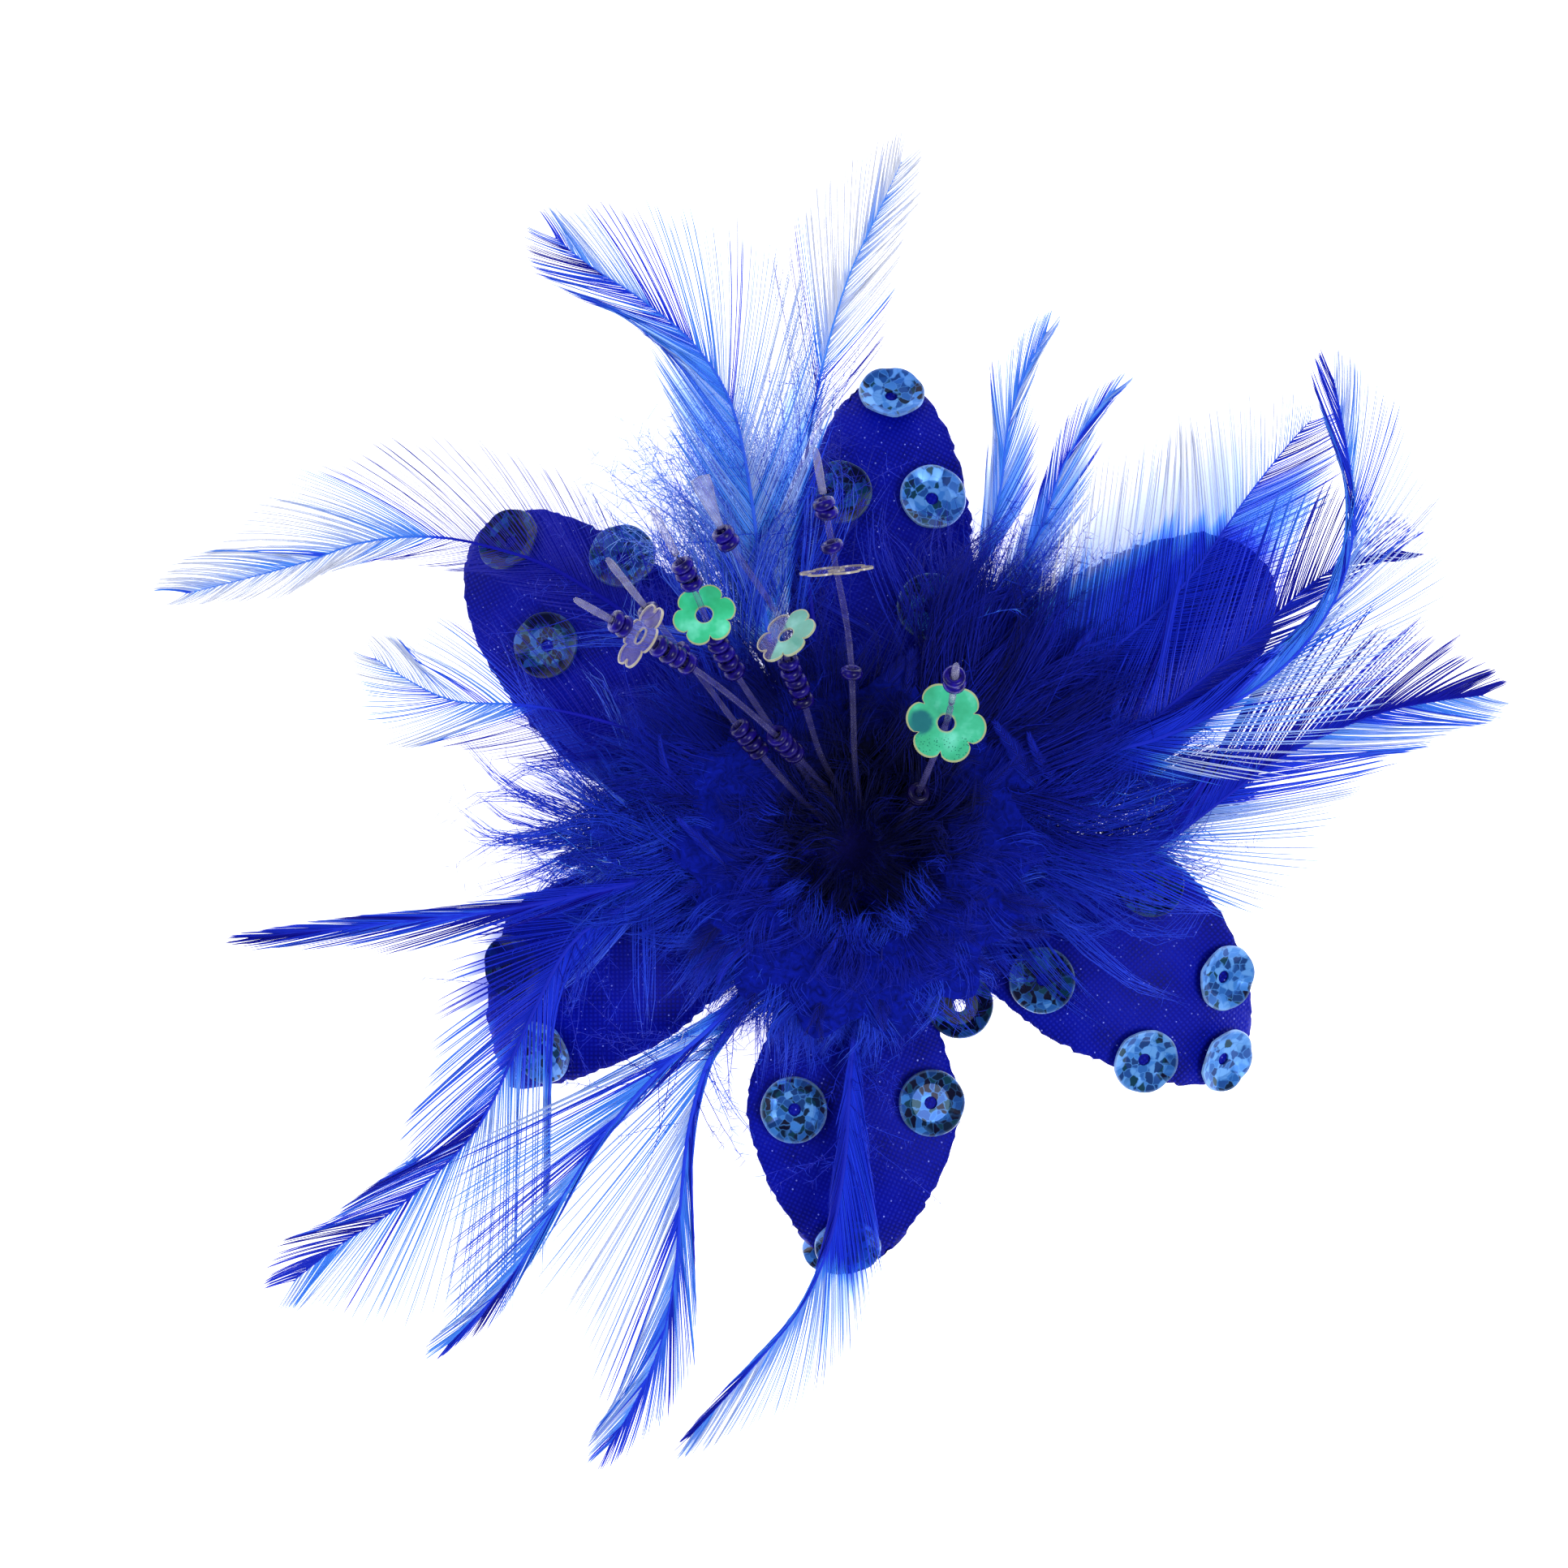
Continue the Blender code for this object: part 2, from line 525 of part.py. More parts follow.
def make_backing(material):
    """The felt disc under the petals."""
    bm = bmesh.new()
    bmesh.ops.create_cone(bm, cap_ends=True, segments=BACKING_SIDES, radius1=BACKING_RADIUS,
                          radius2=BACKING_RADIUS, depth=BACKING_THICKNESS)
    rims = [edge for edge in bm.edges if abs(edge.verts[0].co.z - edge.verts[1].co.z) < 0.001]
    bmesh.ops.bevel(bm, geom=rims, offset=BACKING_EDGE, segments=1, profile=0.5,
                    affect="EDGES", material=-1)
    bmesh.ops.translate(bm, vec=(0, 0, BACKING_BOTTOM + BACKING_THICKNESS / 2), verts=bm.verts)
    return new_object("felt_backing", mesh_from("felt_backing", bm), material)


def make_clip(material):
    """The hair clip: a bar with a flat underside, a seat and a tapered nose."""
    half = CLIP_LENGTH / 2
    profile = ((-half, 0), (half, 0), (half, CLIP_NOSE_HEIGHT), (CLIP_SEAT_HALF, CLIP_HEIGHT),
               (-CLIP_SEAT_HALF, CLIP_HEIGHT), (-half, CLIP_HEEL_HEIGHT))
    bm = bmesh.new()
    side = bm.faces.new([bm.verts.new((x, -CLIP_WIDTH / 2, z)) for x, z in profile])
    pushed = bmesh.ops.extrude_face_region(bm, geom=[side])["geom"]
    moved = [item for item in pushed if isinstance(item, bmesh.types.BMVert)]
    bmesh.ops.translate(bm, vec=(0, CLIP_WIDTH, 0), verts=moved)
    bmesh.ops.recalc_face_normals(bm, faces=bm.faces)
    corners = [edge for edge in bm.edges if abs(edge.verts[0].co.y - edge.verts[1].co.y) < 0.001]
    bmesh.ops.bevel(bm, geom=corners, offset=CLIP_EDGE, segments=2, profile=0.5,
                    affect="EDGES", material=-1)
    return new_object("hair_clip", mesh_from("hair_clip", bm), material)


def main():
    """Build every piece."""
    clear_scene()
    satin = plain_material("satin", (0.01, 0.01, 0.45), 0.55)
    hologram = plain_material("hologram_sequin", (0.03, 0.16, 0.42), 0.2, 0.6)
    hackle = plain_material("hackle", (0.03, 0.05, 0.60), 0.6)
    down = plain_material("marabou_down", (0.01, 0.02, 0.30), 0.9)
    clear = plain_material("clear_plastic", (0.75, 0.76, 0.85), 0.15)
    iridescent = plain_material("iridescent_sequin", (0.05, 0.55, 0.30), 0.2)
    felt = plain_material("felt", (0.01, 0.01, 0.22), 0.95)
    steel = plain_material("clip_steel", (0.60, 0.60, 0.62), 0.3, 1.0)

    make_clip(steel)
    make_backing(felt)
    for petal in PETALS:
        make_petal(petal, satin)
    make_cup_sequins(hologram)
    for row in FEATHERS:
        make_feather(*row, hackle)
    routes = stamen_routes()
    for name, _, bead_runs in STAMENS:
        make_stamen(name, routes[name], bead_runs, clear)
    make_flower_sequins(routes, iridescent)
    make_ruff(down)


main()
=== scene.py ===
"""Looks of the feather flower fascinator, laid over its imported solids.

Every size is in millimetres until a mesh is made, where MM turns it to metres. The
flower lies on its back and +Z is the way that it faces, as in the solids' source.
"""

import json
import math

import bmesh
import bpy
import numpy as np
from bpy.props import FloatProperty, FloatVectorProperty, IntProperty, PointerProperty
from mathutils import Matrix, Quaternion, Vector

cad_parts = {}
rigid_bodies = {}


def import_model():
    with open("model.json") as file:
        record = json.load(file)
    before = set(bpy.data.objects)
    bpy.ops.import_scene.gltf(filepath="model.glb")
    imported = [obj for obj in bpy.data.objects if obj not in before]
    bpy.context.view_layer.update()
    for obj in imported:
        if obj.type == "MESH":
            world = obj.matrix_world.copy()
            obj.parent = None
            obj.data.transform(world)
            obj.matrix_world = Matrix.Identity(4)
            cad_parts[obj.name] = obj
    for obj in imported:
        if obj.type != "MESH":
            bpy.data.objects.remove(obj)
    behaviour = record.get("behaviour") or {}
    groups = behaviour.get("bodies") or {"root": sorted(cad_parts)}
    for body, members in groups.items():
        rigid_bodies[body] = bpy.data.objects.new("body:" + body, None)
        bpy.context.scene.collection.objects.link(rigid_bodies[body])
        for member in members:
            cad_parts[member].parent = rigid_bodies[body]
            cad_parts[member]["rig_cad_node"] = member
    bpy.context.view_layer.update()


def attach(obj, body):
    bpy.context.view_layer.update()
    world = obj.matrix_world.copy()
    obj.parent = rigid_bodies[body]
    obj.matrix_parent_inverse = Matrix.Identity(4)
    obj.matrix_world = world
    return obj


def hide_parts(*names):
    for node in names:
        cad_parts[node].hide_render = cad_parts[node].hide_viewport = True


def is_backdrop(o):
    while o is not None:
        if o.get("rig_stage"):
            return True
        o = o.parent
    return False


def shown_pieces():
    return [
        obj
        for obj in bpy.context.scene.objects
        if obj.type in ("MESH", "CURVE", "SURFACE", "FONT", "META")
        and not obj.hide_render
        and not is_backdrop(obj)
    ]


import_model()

bl_info = {
    "name": "Feather flower fascinator",
    "version": (1, 0, 0),
    "blender": (4, 5, 0),
    "location": "3D View > Sidebar > Fascinator",
    "description": "Satin petals, hackle feathers, marabou down, sequins and beaded stamens",
    "category": "Object",
}

MM = 0.001
UP = Vector((0, 0, 1))

# Camera: straight over the flower. The photograph's frame is 193.2 mm wide 10 mm over the table
CAMERA_PLACE = (-8.9, 7.9, 610.0)
CAMERA_LENS = 111.8
SENSOR_WIDTH = 36.0
BACKLIGHT = 2.2                # the light table's strength, which the camera sees as plain white
TABLE_REACH = 3.0              # half the light table's width in metres, so that no view shows its end
# Soft lights: name, place and width in metres, and watts
LIGHTS = (("softbox", (0.5, -0.2, 1.0), 0.5, 9.0), ("fill", (-0.6, 0.3, 0.9), 0.6, 3.5))
ROOM_COLOUR, ROOM_STRENGTH = (0.9, 0.93, 1.0, 1.0), 0.3

# Sizes repeated from the solids
PETAL_ROOT, PETAL_FLAT, PETAL_PEAK, PETAL_RISE, PETAL_CURL = 4.7, 10.0, 32.0, 2.9, 2.4
PETAL_WIDEST, PETAL_WAIST, PETAL_WAIST_START, PETAL_WAIST_END = 30.0, 0.68, 15.0, 34.0
PETAL_CROWN, PETAL_CROWN_START, PETAL_CROWN_REACH = 1.5, 12.0, 15.0
PETAL_LEAST_WIDTH, PETAL_THICKNESS, PETAL_ROOT_TOP, WEDGE_GAP = 0.4, 1.0, 9.1, 0.4
CUP_LIFT = 0.925               # middle of a cup sequin's wall over the middle of the petal's
CUP_DEPTH, FILM_THICKNESS = 1.2, 0.25
QUILL_HEIGHT, ARCH_START, ARCH_SLOPE, ARCH_BEND = 9.65, 9.0, 0.36, 0.0045
LEVEL_STEP, LEVEL_REACH, LEVEL_SPREAD, LEVEL_SPREAD_START = 1.0, 12.0, 0.1, 35.0
VANE_START, VANE_RISE, VANE_WIDEST = 0.12, 0.22, 0.45
STAMEN_FOOT = 8.3

# The petals' cloth
PETAL_LAST_ROW = 0.86          # share of the closing stretch where the sheet's last row lies
EDGE_JAG, TIP_JAG, RIPPLE = 0.13, 0.12, 0.12    # how uneven the cut edge, the end and the cloth are
TABLE_GAP = 0.05               # least gap between a petal and the table
FRAYED_THREADS, FRAYED_FROM = 400, 14.0    # threads round each petal, and where they begin

# Barbs and quills
BARBS_END, QUILL_END = 0.955, 0.97    # shares of the quill where its last barb sits and where it ends
TIP_OVERHANG = 1.0             # how far barbs reach past the quill's tip
LEAST_BARB, LOCK_WIDTHS = 1.2, (1.4, 3.4)    # shortest barb, and how wide the locks are
BARB_GAP = 0.3                 # least gap between neighbours, as a share of the barbs' spacing
BARB_STRAY, BARB_LOFT = 0.3, 0.35    # how far barbs stray in height, and how far they arch up
WEB_END, WEB_FADE = 0.92, 0.45  # share of a barb where the web ends, and over which it thins out
# How far the dye of locks varies, and how much lighter one may get. Some are much deeper, but
# none in a pale vane
LOCK_MOOD, LOCK_LIGHTEST = 0.09, 0.04
DARK_LOCKS, DARK_LOCK_DROP, PALE_VANE = 0.2, 0.4, 0.95
TIP_DEEPENS = 0.3              # how much deeper the dye is at the tips of all but pale vanes

# Down, rods and beads
DARK_MIDDLE, DARK_REACH = (2.0, 7.0), 21.0    # middle of the ruff's painted shade, where it is deepest, and how far it reaches
BEAD_HOLE = 0.5
BEADS_DARK_BELOW, BEADS_DARK_REACH = 20.0, 16.0    # beads deep in the ruff are painted almost black, as shade
RODS_DARK_BELOW, RODS_DARK_REACH = 16.0, 16.0      # and rods are painted fainter there, as shade
# Where dark down ends, and the widths over which it and a petal stop being dark behind a strand
RUFF_REACH, RUFF_EDGE, PETAL_EDGE = 29.0, 4.0, 1.2
# What is left of a thin strand's tone over dark cloth or down, painted shade where no backlight shines
# through it: a barb's, and a tuft's
SHOWN_OVER_DARK, TUFTS_OVER_DARK = 0.42, 0.3
# Radii of hairs of down from root to end: a wisp's, and the side hairs of strands and of tufts
WISP_HAIR, SIDE_HAIR, TUFT_HAIR = (0.05, 0.055, 0.045, 0.0), (0.035, 0.03, 0.0), (0.036, 0.03, 0.0)

PETAL_FIELDS = ("name", "direction", "length", "left", "right", "lean", "power", "slant", "tip")
PETALS = [dict(zip(PETAL_FIELDS, row)) for row in (
    ("petal_top",          85.8, 58.5, 11.0, 11.9,  0.0, 2.0, 0.0, 1.7),
    ("petal_upper_left",  141.5, 61.0, 13.8, 12.3, -2.0, 2.2, 0.0, 1.7),
    ("petal_lower_left",  204.5, 50.0, 11.9, 11.5,  0.0, 3.6, 4.0, 4.0),
    ("petal_bottom",      269.5, 52.0, 13.2, 13.4,  0.0, 1.6, 0.0, 5.0),
    ("petal_lower_right", 334.5, 54.5, 16.0, 10.9, -3.5, 2.0, 0.0, 1.8),
    ("petal_upper_right",  33.5, 62.0, 13.5, 12.0,  1.0, 2.3, 0.0, 1.7),
)]

# Each cup sequin: its petal, its place in plan, and how lit it looks (0 to 1), painted light for the lamps it
# reflects
CUP_SEQUINS = (
    ("petal_top", 4.4, 55.6, 0.8), ("petal_top", 9.2, 42.8, 0.9),
    ("petal_top", -2.0, 43.3, 0.25), ("petal_top", 8.8, 29.8, 0.6),
    ("petal_upper_left", -42.5, 37.7, 0.05), ("petal_upper_left", -28.7, 35.5, 0.35),
    ("petal_upper_left", -37.8, 24.8, 0.1),
    ("petal_upper_right", 43.0, 32.0, 0.0),
    ("petal_lower_right", 45.0, -15.8, 0.9), ("petal_lower_right", 35.3, -25.8, 0.95),
    ("petal_lower_right", 45.2, -26.0, 1.0), ("petal_lower_right", 23.0, -16.1, 0.35),
    ("petal_lower_right", 36.0, -4.5, 0.1),
    ("petal_bottom", -7.5, -32.1, 0.6), ("petal_bottom", 9.0, -31.3, 0.35),
    ("petal_bottom", -1.0, -48.4, 0.4), ("petal_bottom", 12.6, -19.4, 0.15),
    ("petal_lower_left", -38.3, -24.7, 0.6), ("petal_lower_left", -41.6, -14.5, 0.0),
)
TIP_SEQUIN = ("petal_bottom", -2.6, -51.5, 0.45)
TIP_SEQUIN_DROP = 0.7

# Share of the quill where the vane is widest, in feathers that keep their width further out
LATE_WIDEST = {"feather_right_upper": 0.78, "feather_right_mid": 0.62}
# Share of the quill up to which these feathers lie bare, under a petal or its sequins
BARE_SHARES = {"feather_top": 0.52, "feather_top_right_inner": 0.46, "feather_top_right_outer": 0.3}
# Share of the quill that the photograph shows behind a petal
# Up to there the quill and barbs are painted near black, painted shade that stands in for the petal over them
DARK_SHARES = {"feather_left": 0.58, "feather_left_low": 0.56, "feather_top": 0.58}
DARK_SHARE_FADE = 0.06         # share of the quill over which its painted shade fades out past the petal

# Each feather: level, the quill's route in plan, the thickness of a free barb, how many
# downy barbs it has, and its two vanes. Left is the left of the quill as it runs out.
# Each vane: its width, the barbs' spacing, their angle at the quill and how far they
# bend to the tip (degrees), how much they cling together, the share of the quill that
# is webbed, and the tone (0 navy, 1 sky blue)
FEATHER_FIELDS = ("name", "level", "route", "barb", "down", "left", "right")
VANE_FIELDS = ("width", "spacing", "angle", "bend", "cling", "web", "tone")
FEATHERS = [dict(zip(FEATHER_FIELDS, row)) for row in (
    ("feather_top", 2,
     ((-1.5, 8.5), (-5.4, 28.2), (-6.4, 43.7), (-4.9, 55.3), (-1.5, 67.9), (2.9, 77.7), (6.6, 85.8)),
     0.21, 6, (9.0, 0.31, 24, 3, 0.03, 0.0, 1.06), (8.5, 0.34, 36, 8, 0.10, 0.0, 1.06)),
    ("feather_top_left", 3,
     ((-4.0, 8.0), (-10.4, 24.2), (-12.7, 41.6), (-15.1, 53.1), (-19.4, 60.2), (-25.7, 65.6),
      (-32.4, 70.0), (-38.7, 75.2)),
     0.17, 40, (9.5, 0.28, 32, 8, 0.12, 0.76, 0.76), (11.5, 0.30, 32, 8, 0.15, 0.5, 0.82)),
    ("feather_left", 1,
     ((-7.0, 6.0), (-20.3, 22.3), (-35.0, 33.0), (-44.8, 36.7), (-52.6, 37.9), (-60.5, 37.1),
      (-66.5, 35.0), (-75.5, 32.6), (-85.7, 30.2)),
     0.23, 20, (5.5, 0.46, 34, 14, 0.2, 0.0, 1.0), (10.5, 0.30, 38, 16, 0.04, 0.0, 0.93)),
    ("feather_left_low", 2,
     ((-8.0, 2.5), (-20.3, 11.4), (-30.1, 15.3), (-39.8, 17.4), (-48.5, 17.9), (-54.3, 20.5),
      (-60.1, 24.4)),
     0.18, 24, (9.0, 0.34, 36, 12, 0.2, 0.35, 0.93), (12.0, 0.42, 48, 20, 0.15, 0.2, 0.9)),
    ("feather_lower_left_long", 3,
     ((-8.6, -0.2), (-20.3, -2.6), (-31.1, -5.0), (-42.6, -7.3), (-56.0, -8.8), (-65.5, -9.7),
      (-75.1, -10.7)),
     0.19, 24, (2.3, 0.26, 9, 4, 0.5, 0.0, 0.46), (1.8, 0.26, 10, 4, 0.5, 0.0, 0.42)),
    ("feather_lower_left_broad", 1,
     ((-7.3, -3.8), (-15.5, -5.2), (-26.0, -6.2), (-34.5, -11.2), (-40.1, -21.4), (-44.4, -30.9),
      (-47.9, -36.1), (-55.4, -43.2), (-63.4, -48.5), (-71.5, -55.0)),
     0.20, 24, (15.0, 0.44, 25, 2, 0.05, 0.34, 0.8), (8.5, 0.34, 30, 8, 0.55, 0.42, 0.5)),
    ("feather_low_left_closed", 2,
     ((-5.5, -6.5), (-11.4, -15.4), (-17.3, -21.3), (-25.1, -28.1), (-30.9, -34.8), (-36.7, -43.5),
      (-42.5, -52.3), (-51.3, -61.6)),
     0.20, 20, (1.6, 0.28, 8, 3, 0.6, 0.0, 0.62), (9.0, 0.36, 15, 1, 0.12, 0.2, 0.8)),
    ("feather_low", 0,
     ((-2.5, -8.0), (-11.4, -17.4), (-17.3, -24.3), (-20.3, -33.1), (-21.5, -43.0), (-22.1, -50.9),
      (-23.8, -59.9), (-27.3, -68.0), (-31.9, -75.8)),
     0.20, 20, (3.5, 0.40, 12, 3, 0.3, 0.2, 0.6), (13.0, 0.34, 19, 1, 0.05, 0.15, 0.84)),
    ("feather_bottom", 1,
     ((0.2, -8.5), (-0.3, -20.4), (-1.0, -30.2), (-1.5, -38.0), (-3.4, -47.8), (-6.9, -55.6),
      (-13.3, -63.5), (-22.2, -73.4)),
     0.17, 20, (5.0, 0.30, 18, 6, 0.12, 0.62, 0.86), (1.6, 0.28, 9, 3, 0.6, 0.0, 0.52)),
    ("feather_top_right_inner", 0,
     ((2.5, 8.0), (9.4, 22.3), (14.8, 34.1), (17.5, 44.0), (18.3, 50.9), (20.5, 57.9), (24.3, 65.2)),
     0.14, 26, (3.8, 0.30, 17, 5, 0.3, 0.78, 0.82), (3.4, 0.30, 17, 5, 0.3, 0.7, 0.82)),
    ("feather_top_right_outer", 1,
     ((4.3, 7.0), (12.4, 18.4), (19.3, 32.1), (22.7, 39.9), (25.1, 46.7), (28.5, 52.6), (32.8, 57.4)),
     0.14, 26, (2.8, 0.30, 17, 5, 0.3, 0.7, 0.82), (3.8, 0.30, 17, 5, 0.3, 0.78, 0.82)),
    ("feather_right_upper", 2,
     ((6.0, 6.0), (17.3, 13.9), (29.1, 22.8), (39.0, 31.5), (46.9, 42.5), (52.3, 49.3), (56.6, 53.7)),
     0.15, 30, (21.0, 0.34, 44, -3, 0.02, 0.84, 0.98), (9.0, 0.28, 42, 10, 0.06, 0.86, 0.66)),
    ("feather_right_upright", 4,
     ((6.8, 4.8), (21.8, 10.6), (35.8, 13.2), (49.0, 20.4), (56.4, 29.4), (58.7, 39.0), (57.6, 48.5),
      (55.3, 59.2)),
     0.16, 24, (7.0, 0.32, 18, 4, 0.2, 0.7, 0.62), (7.5, 0.34, 24, 8, 0.15, 0.3, 0.85)),
    ("feather_right_mid", 3,
     ((7.7, 2.4), (20.3, 6.2), (32.7, 13.0), (38.0, 17.6), (44.8, 23.4), (49.2, 27.4), (54.4, 32.0),
      (58.9, 34.6), (67.6, 36.3)),
     0.21, 24, (12.0, 0.36, 40, 6, 0.3, 0.35, 0.5), (4.0, 0.30, 30, 10, 0.6, 0.1, 0.3)),
    ("feather_right_broad", 1,
     ((8.0, 0.5), (19.4, -1.0), (29.2, -1.0), (36.5, 0.4), (42.9, 4.9), (49.8, 10.1), (56.8, 13.9),
      (63.8, 16.6), (70.7, 18.0), (79.0, 19.0)),
     0.24, 24, (12.5, 0.27, 28, 8, 0.85, 0.2, 0.14), (10.0, 0.36, 34, 8, 0.05, 0.3, 0.88)),
)]
for feather in FEATHERS:
    feather["left"] = dict(zip(VANE_FIELDS, feather["left"]))
    feather["right"] = dict(zip(VANE_FIELDS, feather["right"]))

# Each stamen: the rod's route from the felt to the tip, and its runs of seed beads
STAMENS = (
    ("stamen_a", ((-0.8, 2.5, STAMEN_FOOT), (-2.2, 5.2, 15.5), (-8.6, 12.5, 28.5), (-19.4, 21.4, 39.0),
                  (-33.2, 29.3, 48.5)), ((0.36, 0.45), (0.70, 0.80), (0.865, 0.905))),
    ("stamen_b", ((-2.5, 0.6, STAMEN_FOOT), (-4.0, 3.4, 15.0), (-8.3, 7.6, 24.0), (-14.4, 14.8, 29.3),
                  (-19.4, 21.4, 33.2), (-29.7, 34.4, 40.5)), ((0.43, 0.52), (0.72, 0.75), (0.82, 0.86))),
    ("stamen_c", ((-2.2, 2.0, STAMEN_FOOT), (-3.6, 5.2, 15.0), (-7.0, 10.0, 22.6), (-11.8, 16.7, 28.5),
                  (-17.1, 25.1, 35.4), (-19.4, 30.6, 39.4), (-24.3, 40.0, 45.0)),
     ((0.57, 0.69), (0.80, 0.87))),
    ("stamen_d", ((0.4, 2.6, STAMEN_FOOT), (-1.2, 5.8, 15.0), (-4.4, 11.2, 23.2), (-6.6, 17.9, 28.6),
                  (-8.4, 22.2, 32.0), (-9.3, 27.2, 35.5), (-15.7, 36.8, 41.0), (-18.8, 43.7, 44.0)),
     ((0.44, 0.56), (0.84, 0.88))),
    ("stamen_e", ((1.7, 2.0, STAMEN_FOOT), (0.8, 5.0, 15.0), (-0.3, 9.6, 22.5), (-1.1, 23.9, 34.0),
                  (-3.3, 35.8, 40.0), (-5.3, 47.0, 45.0)), ((0.50, 0.53), (0.78, 0.81), (0.855, 0.89))),
    ("stamen_f", ((2.6, 0.0, STAMEN_FOOT), (5.2, 3.0, 15.5), (7.3, 6.9, 24.0), (10.1, 15.5, 44.5),
                  (10.7, 21.6, 57.0)), ((0.30, 0.34), (0.90, 0.95))),
)

# Where each rod turns milky, as a share of its length
MILKY_TIPS = {"stamen_a": 0.86, "stamen_b": 0.83, "stamen_c": 0.84, "stamen_d": 0.84,
              "stamen_e": 0.86, "stamen_f": 0.78}
PADDLE_ROD = "stamen_d"        # its tip is melted into a flat paddle

# Each flower sequin: its stamen, place along the rod, diameter, the way it faces, how
# green it shines (0 is clear), and the side that is see-through (turn in degrees, 0 is none)
FLOWER_SEQUINS = (
    ("flower_sequin_a", "stamen_a", 0.835, 8.6, (-0.78, 0.45, 0.42), 0.0, 0),
    ("flower_sequin_c", "stamen_c", 0.735, 7.6, (-0.10, 0.30, 0.95), 1.0, 0),
    ("flower_sequin_d", "stamen_d", 0.615, 8.0, (-0.50, 0.62, 0.60), 0.7, 170),
    ("flower_sequin_e", "stamen_e", 0.745, 8.8, (-0.10, 0.98, 0.14), 0.0, 0),
    ("flower_sequin_f", "stamen_f", 0.72, 9.5, (0.02, 0.10, 1.00), 0.9, 0),
)

SPOTTED_FLOWER, SPOT_PLACE, SPOT_RADIUS = "flower_sequin_f_film", (-3.0, 0.1, 0.0), 1.2

FLOWER_PAINT = ("tone", "rim", "spot", "specks")    # what is painted on a flower sequin's points

# The ruff's cross section as in the solid: radius, height, and how far its locks push out
RUFF_SECTION = (
    (6.8, 10.3, 0.0), (8.6, 15.0, 0.3), (12.4, 20.8, 0.9), (16.5, 22.6, 1.2), (24.5, 20.6, 3.2),
    (21.0, 18.3, 0.0), (18.0, 16.8, 0.0), (15.0, 14.8, 0.0), (9.8, 10.9, 0.0),
)
RUFF_LOCKS = 14
# How much of what lies past a radius and over a height is drawn in, so that wisps cover the heart
RUFF_DRAWN_IN, RUFF_FROM, RUFF_LOWERED, RUFF_LOWERED_FROM = 0.28, 8.0, 0.16, 11.0
DOWN_STRANDS = 900             # the setting for which the tufts are as photographed


def linear(colour):
    """A Blender colour from an sRGB hex value."""
    values = [int(colour[i:i + 2], 16) / 255 for i in (1, 3, 5)]
    return tuple(v / 12.92 if v <= 0.04045 else ((v + 0.055) / 1.055) ** 2.4 for v in values)


def rgba(colour):
    """A socket's colour from an sRGB hex value or a Blender colour."""
    return (*(linear(colour) if isinstance(colour, str) else colour), 1.0)


def colour_setting(name, description, colour):
    """A colour in the sidebar, with its sRGB hex value as the default."""
    return FloatVectorProperty(name=name, description=description, subtype="COLOR",
                               size=3, min=0, max=1, default=linear(colour))


def length_setting(name, description, millimetres):
    """A length in the sidebar, in metres as Blender keeps it."""
    return FloatProperty(name=name, description=description, default=millimetres * MM,
                         min=0, unit="LENGTH", precision=5)


class FascinatorSizes(bpy.types.PropertyGroup):
    """Sizes that a user may change."""
    rachis_radius: length_setting("Quill", "Radius of a feather's quill at its root", 0.42)
    barb_share: FloatProperty(name="Barb length", default=1.0, min=0.5, max=1.5, subtype="FACTOR",
                              description="Barb length as a share of the photographed one")
    down_strands: IntProperty(name="Down strands", default=DOWN_STRANDS, min=50, max=1000,
                              description="How dense the tufts of down are: 900 is as photographed")
    rod_radius: length_setting("Rod", "Radius of the clear stamen rods", 0.45)
    bead_radius: length_setting("Bead", "Outer radius of a seed bead", 1.4)
    bead_height: length_setting("Bead height", "Height of a seed bead along its rod", 1.35)
    thread_length: length_setting("Frayed thread", "Length of the longest threads at a petal's edge", 1.1)


class FascinatorColours(bpy.types.PropertyGroup):
    """Colours that a user may change."""
    satin: colour_setting("Satin", "Petal satin", "#030d92")
    satin_dark: colour_setting("Satin shade", "Satin between its raised threads", "#020964")
    hackle_deep: colour_setting("Hackle, deep", "Deepest dye on the barbs", "#0a10a0")
    hackle_light: colour_setting("Hackle, light", "Lightest dye on the barbs", "#4890f4")
    down: colour_setting("Marabou", "Marabou down", "#2246e0")
    bead: colour_setting("Seed bead", "Glass of the seed beads", "#1a0a8c")
    rod: colour_setting("Rod", "Clear plastic rods, where they are milky", "#d4d4f0")
    felt: colour_setting("Felt", "Felt disc at the back", "#0c0c5a")


def sizes():
    """The size settings."""
    return bpy.context.scene.fascinator_sizes


def colours():
    """The colour settings."""
    return bpy.context.scene.fascinator_colours


def ease(share):
    """A smooth step from 0 to 1."""
    share = min(max(share, 0.0), 1.0)
    return share * share * (3.0 - 2.0 * share)


def smooth_step(values):
    """ease for an array."""
    values = np.clip(values, 0.0, 1.0)
    return values * values * (3.0 - 2.0 * values)


def smooth_route(points, per_stretch=12):
    """A Catmull-Rom curve through a list of points, as closely spaced points."""
    knots = [Vector(point) for point in points]
    knots = [2 * knots[0] - knots[1]] + knots + [2 * knots[-1] - knots[-2]]
    route = []
    for a, b, c, d in zip(knots, knots[1:], knots[2:], knots[3:]):
        for step in range(per_stretch):
            t = step / per_stretch
            route.append(0.5 * (2 * b + (c - a) * t + (2 * a - 5 * b + 4 * c - d) * t * t
                                + (3 * b - a - 3 * c + d) * t ** 3))
    return np.array([tuple(point) for point in route + [knots[-2]]])


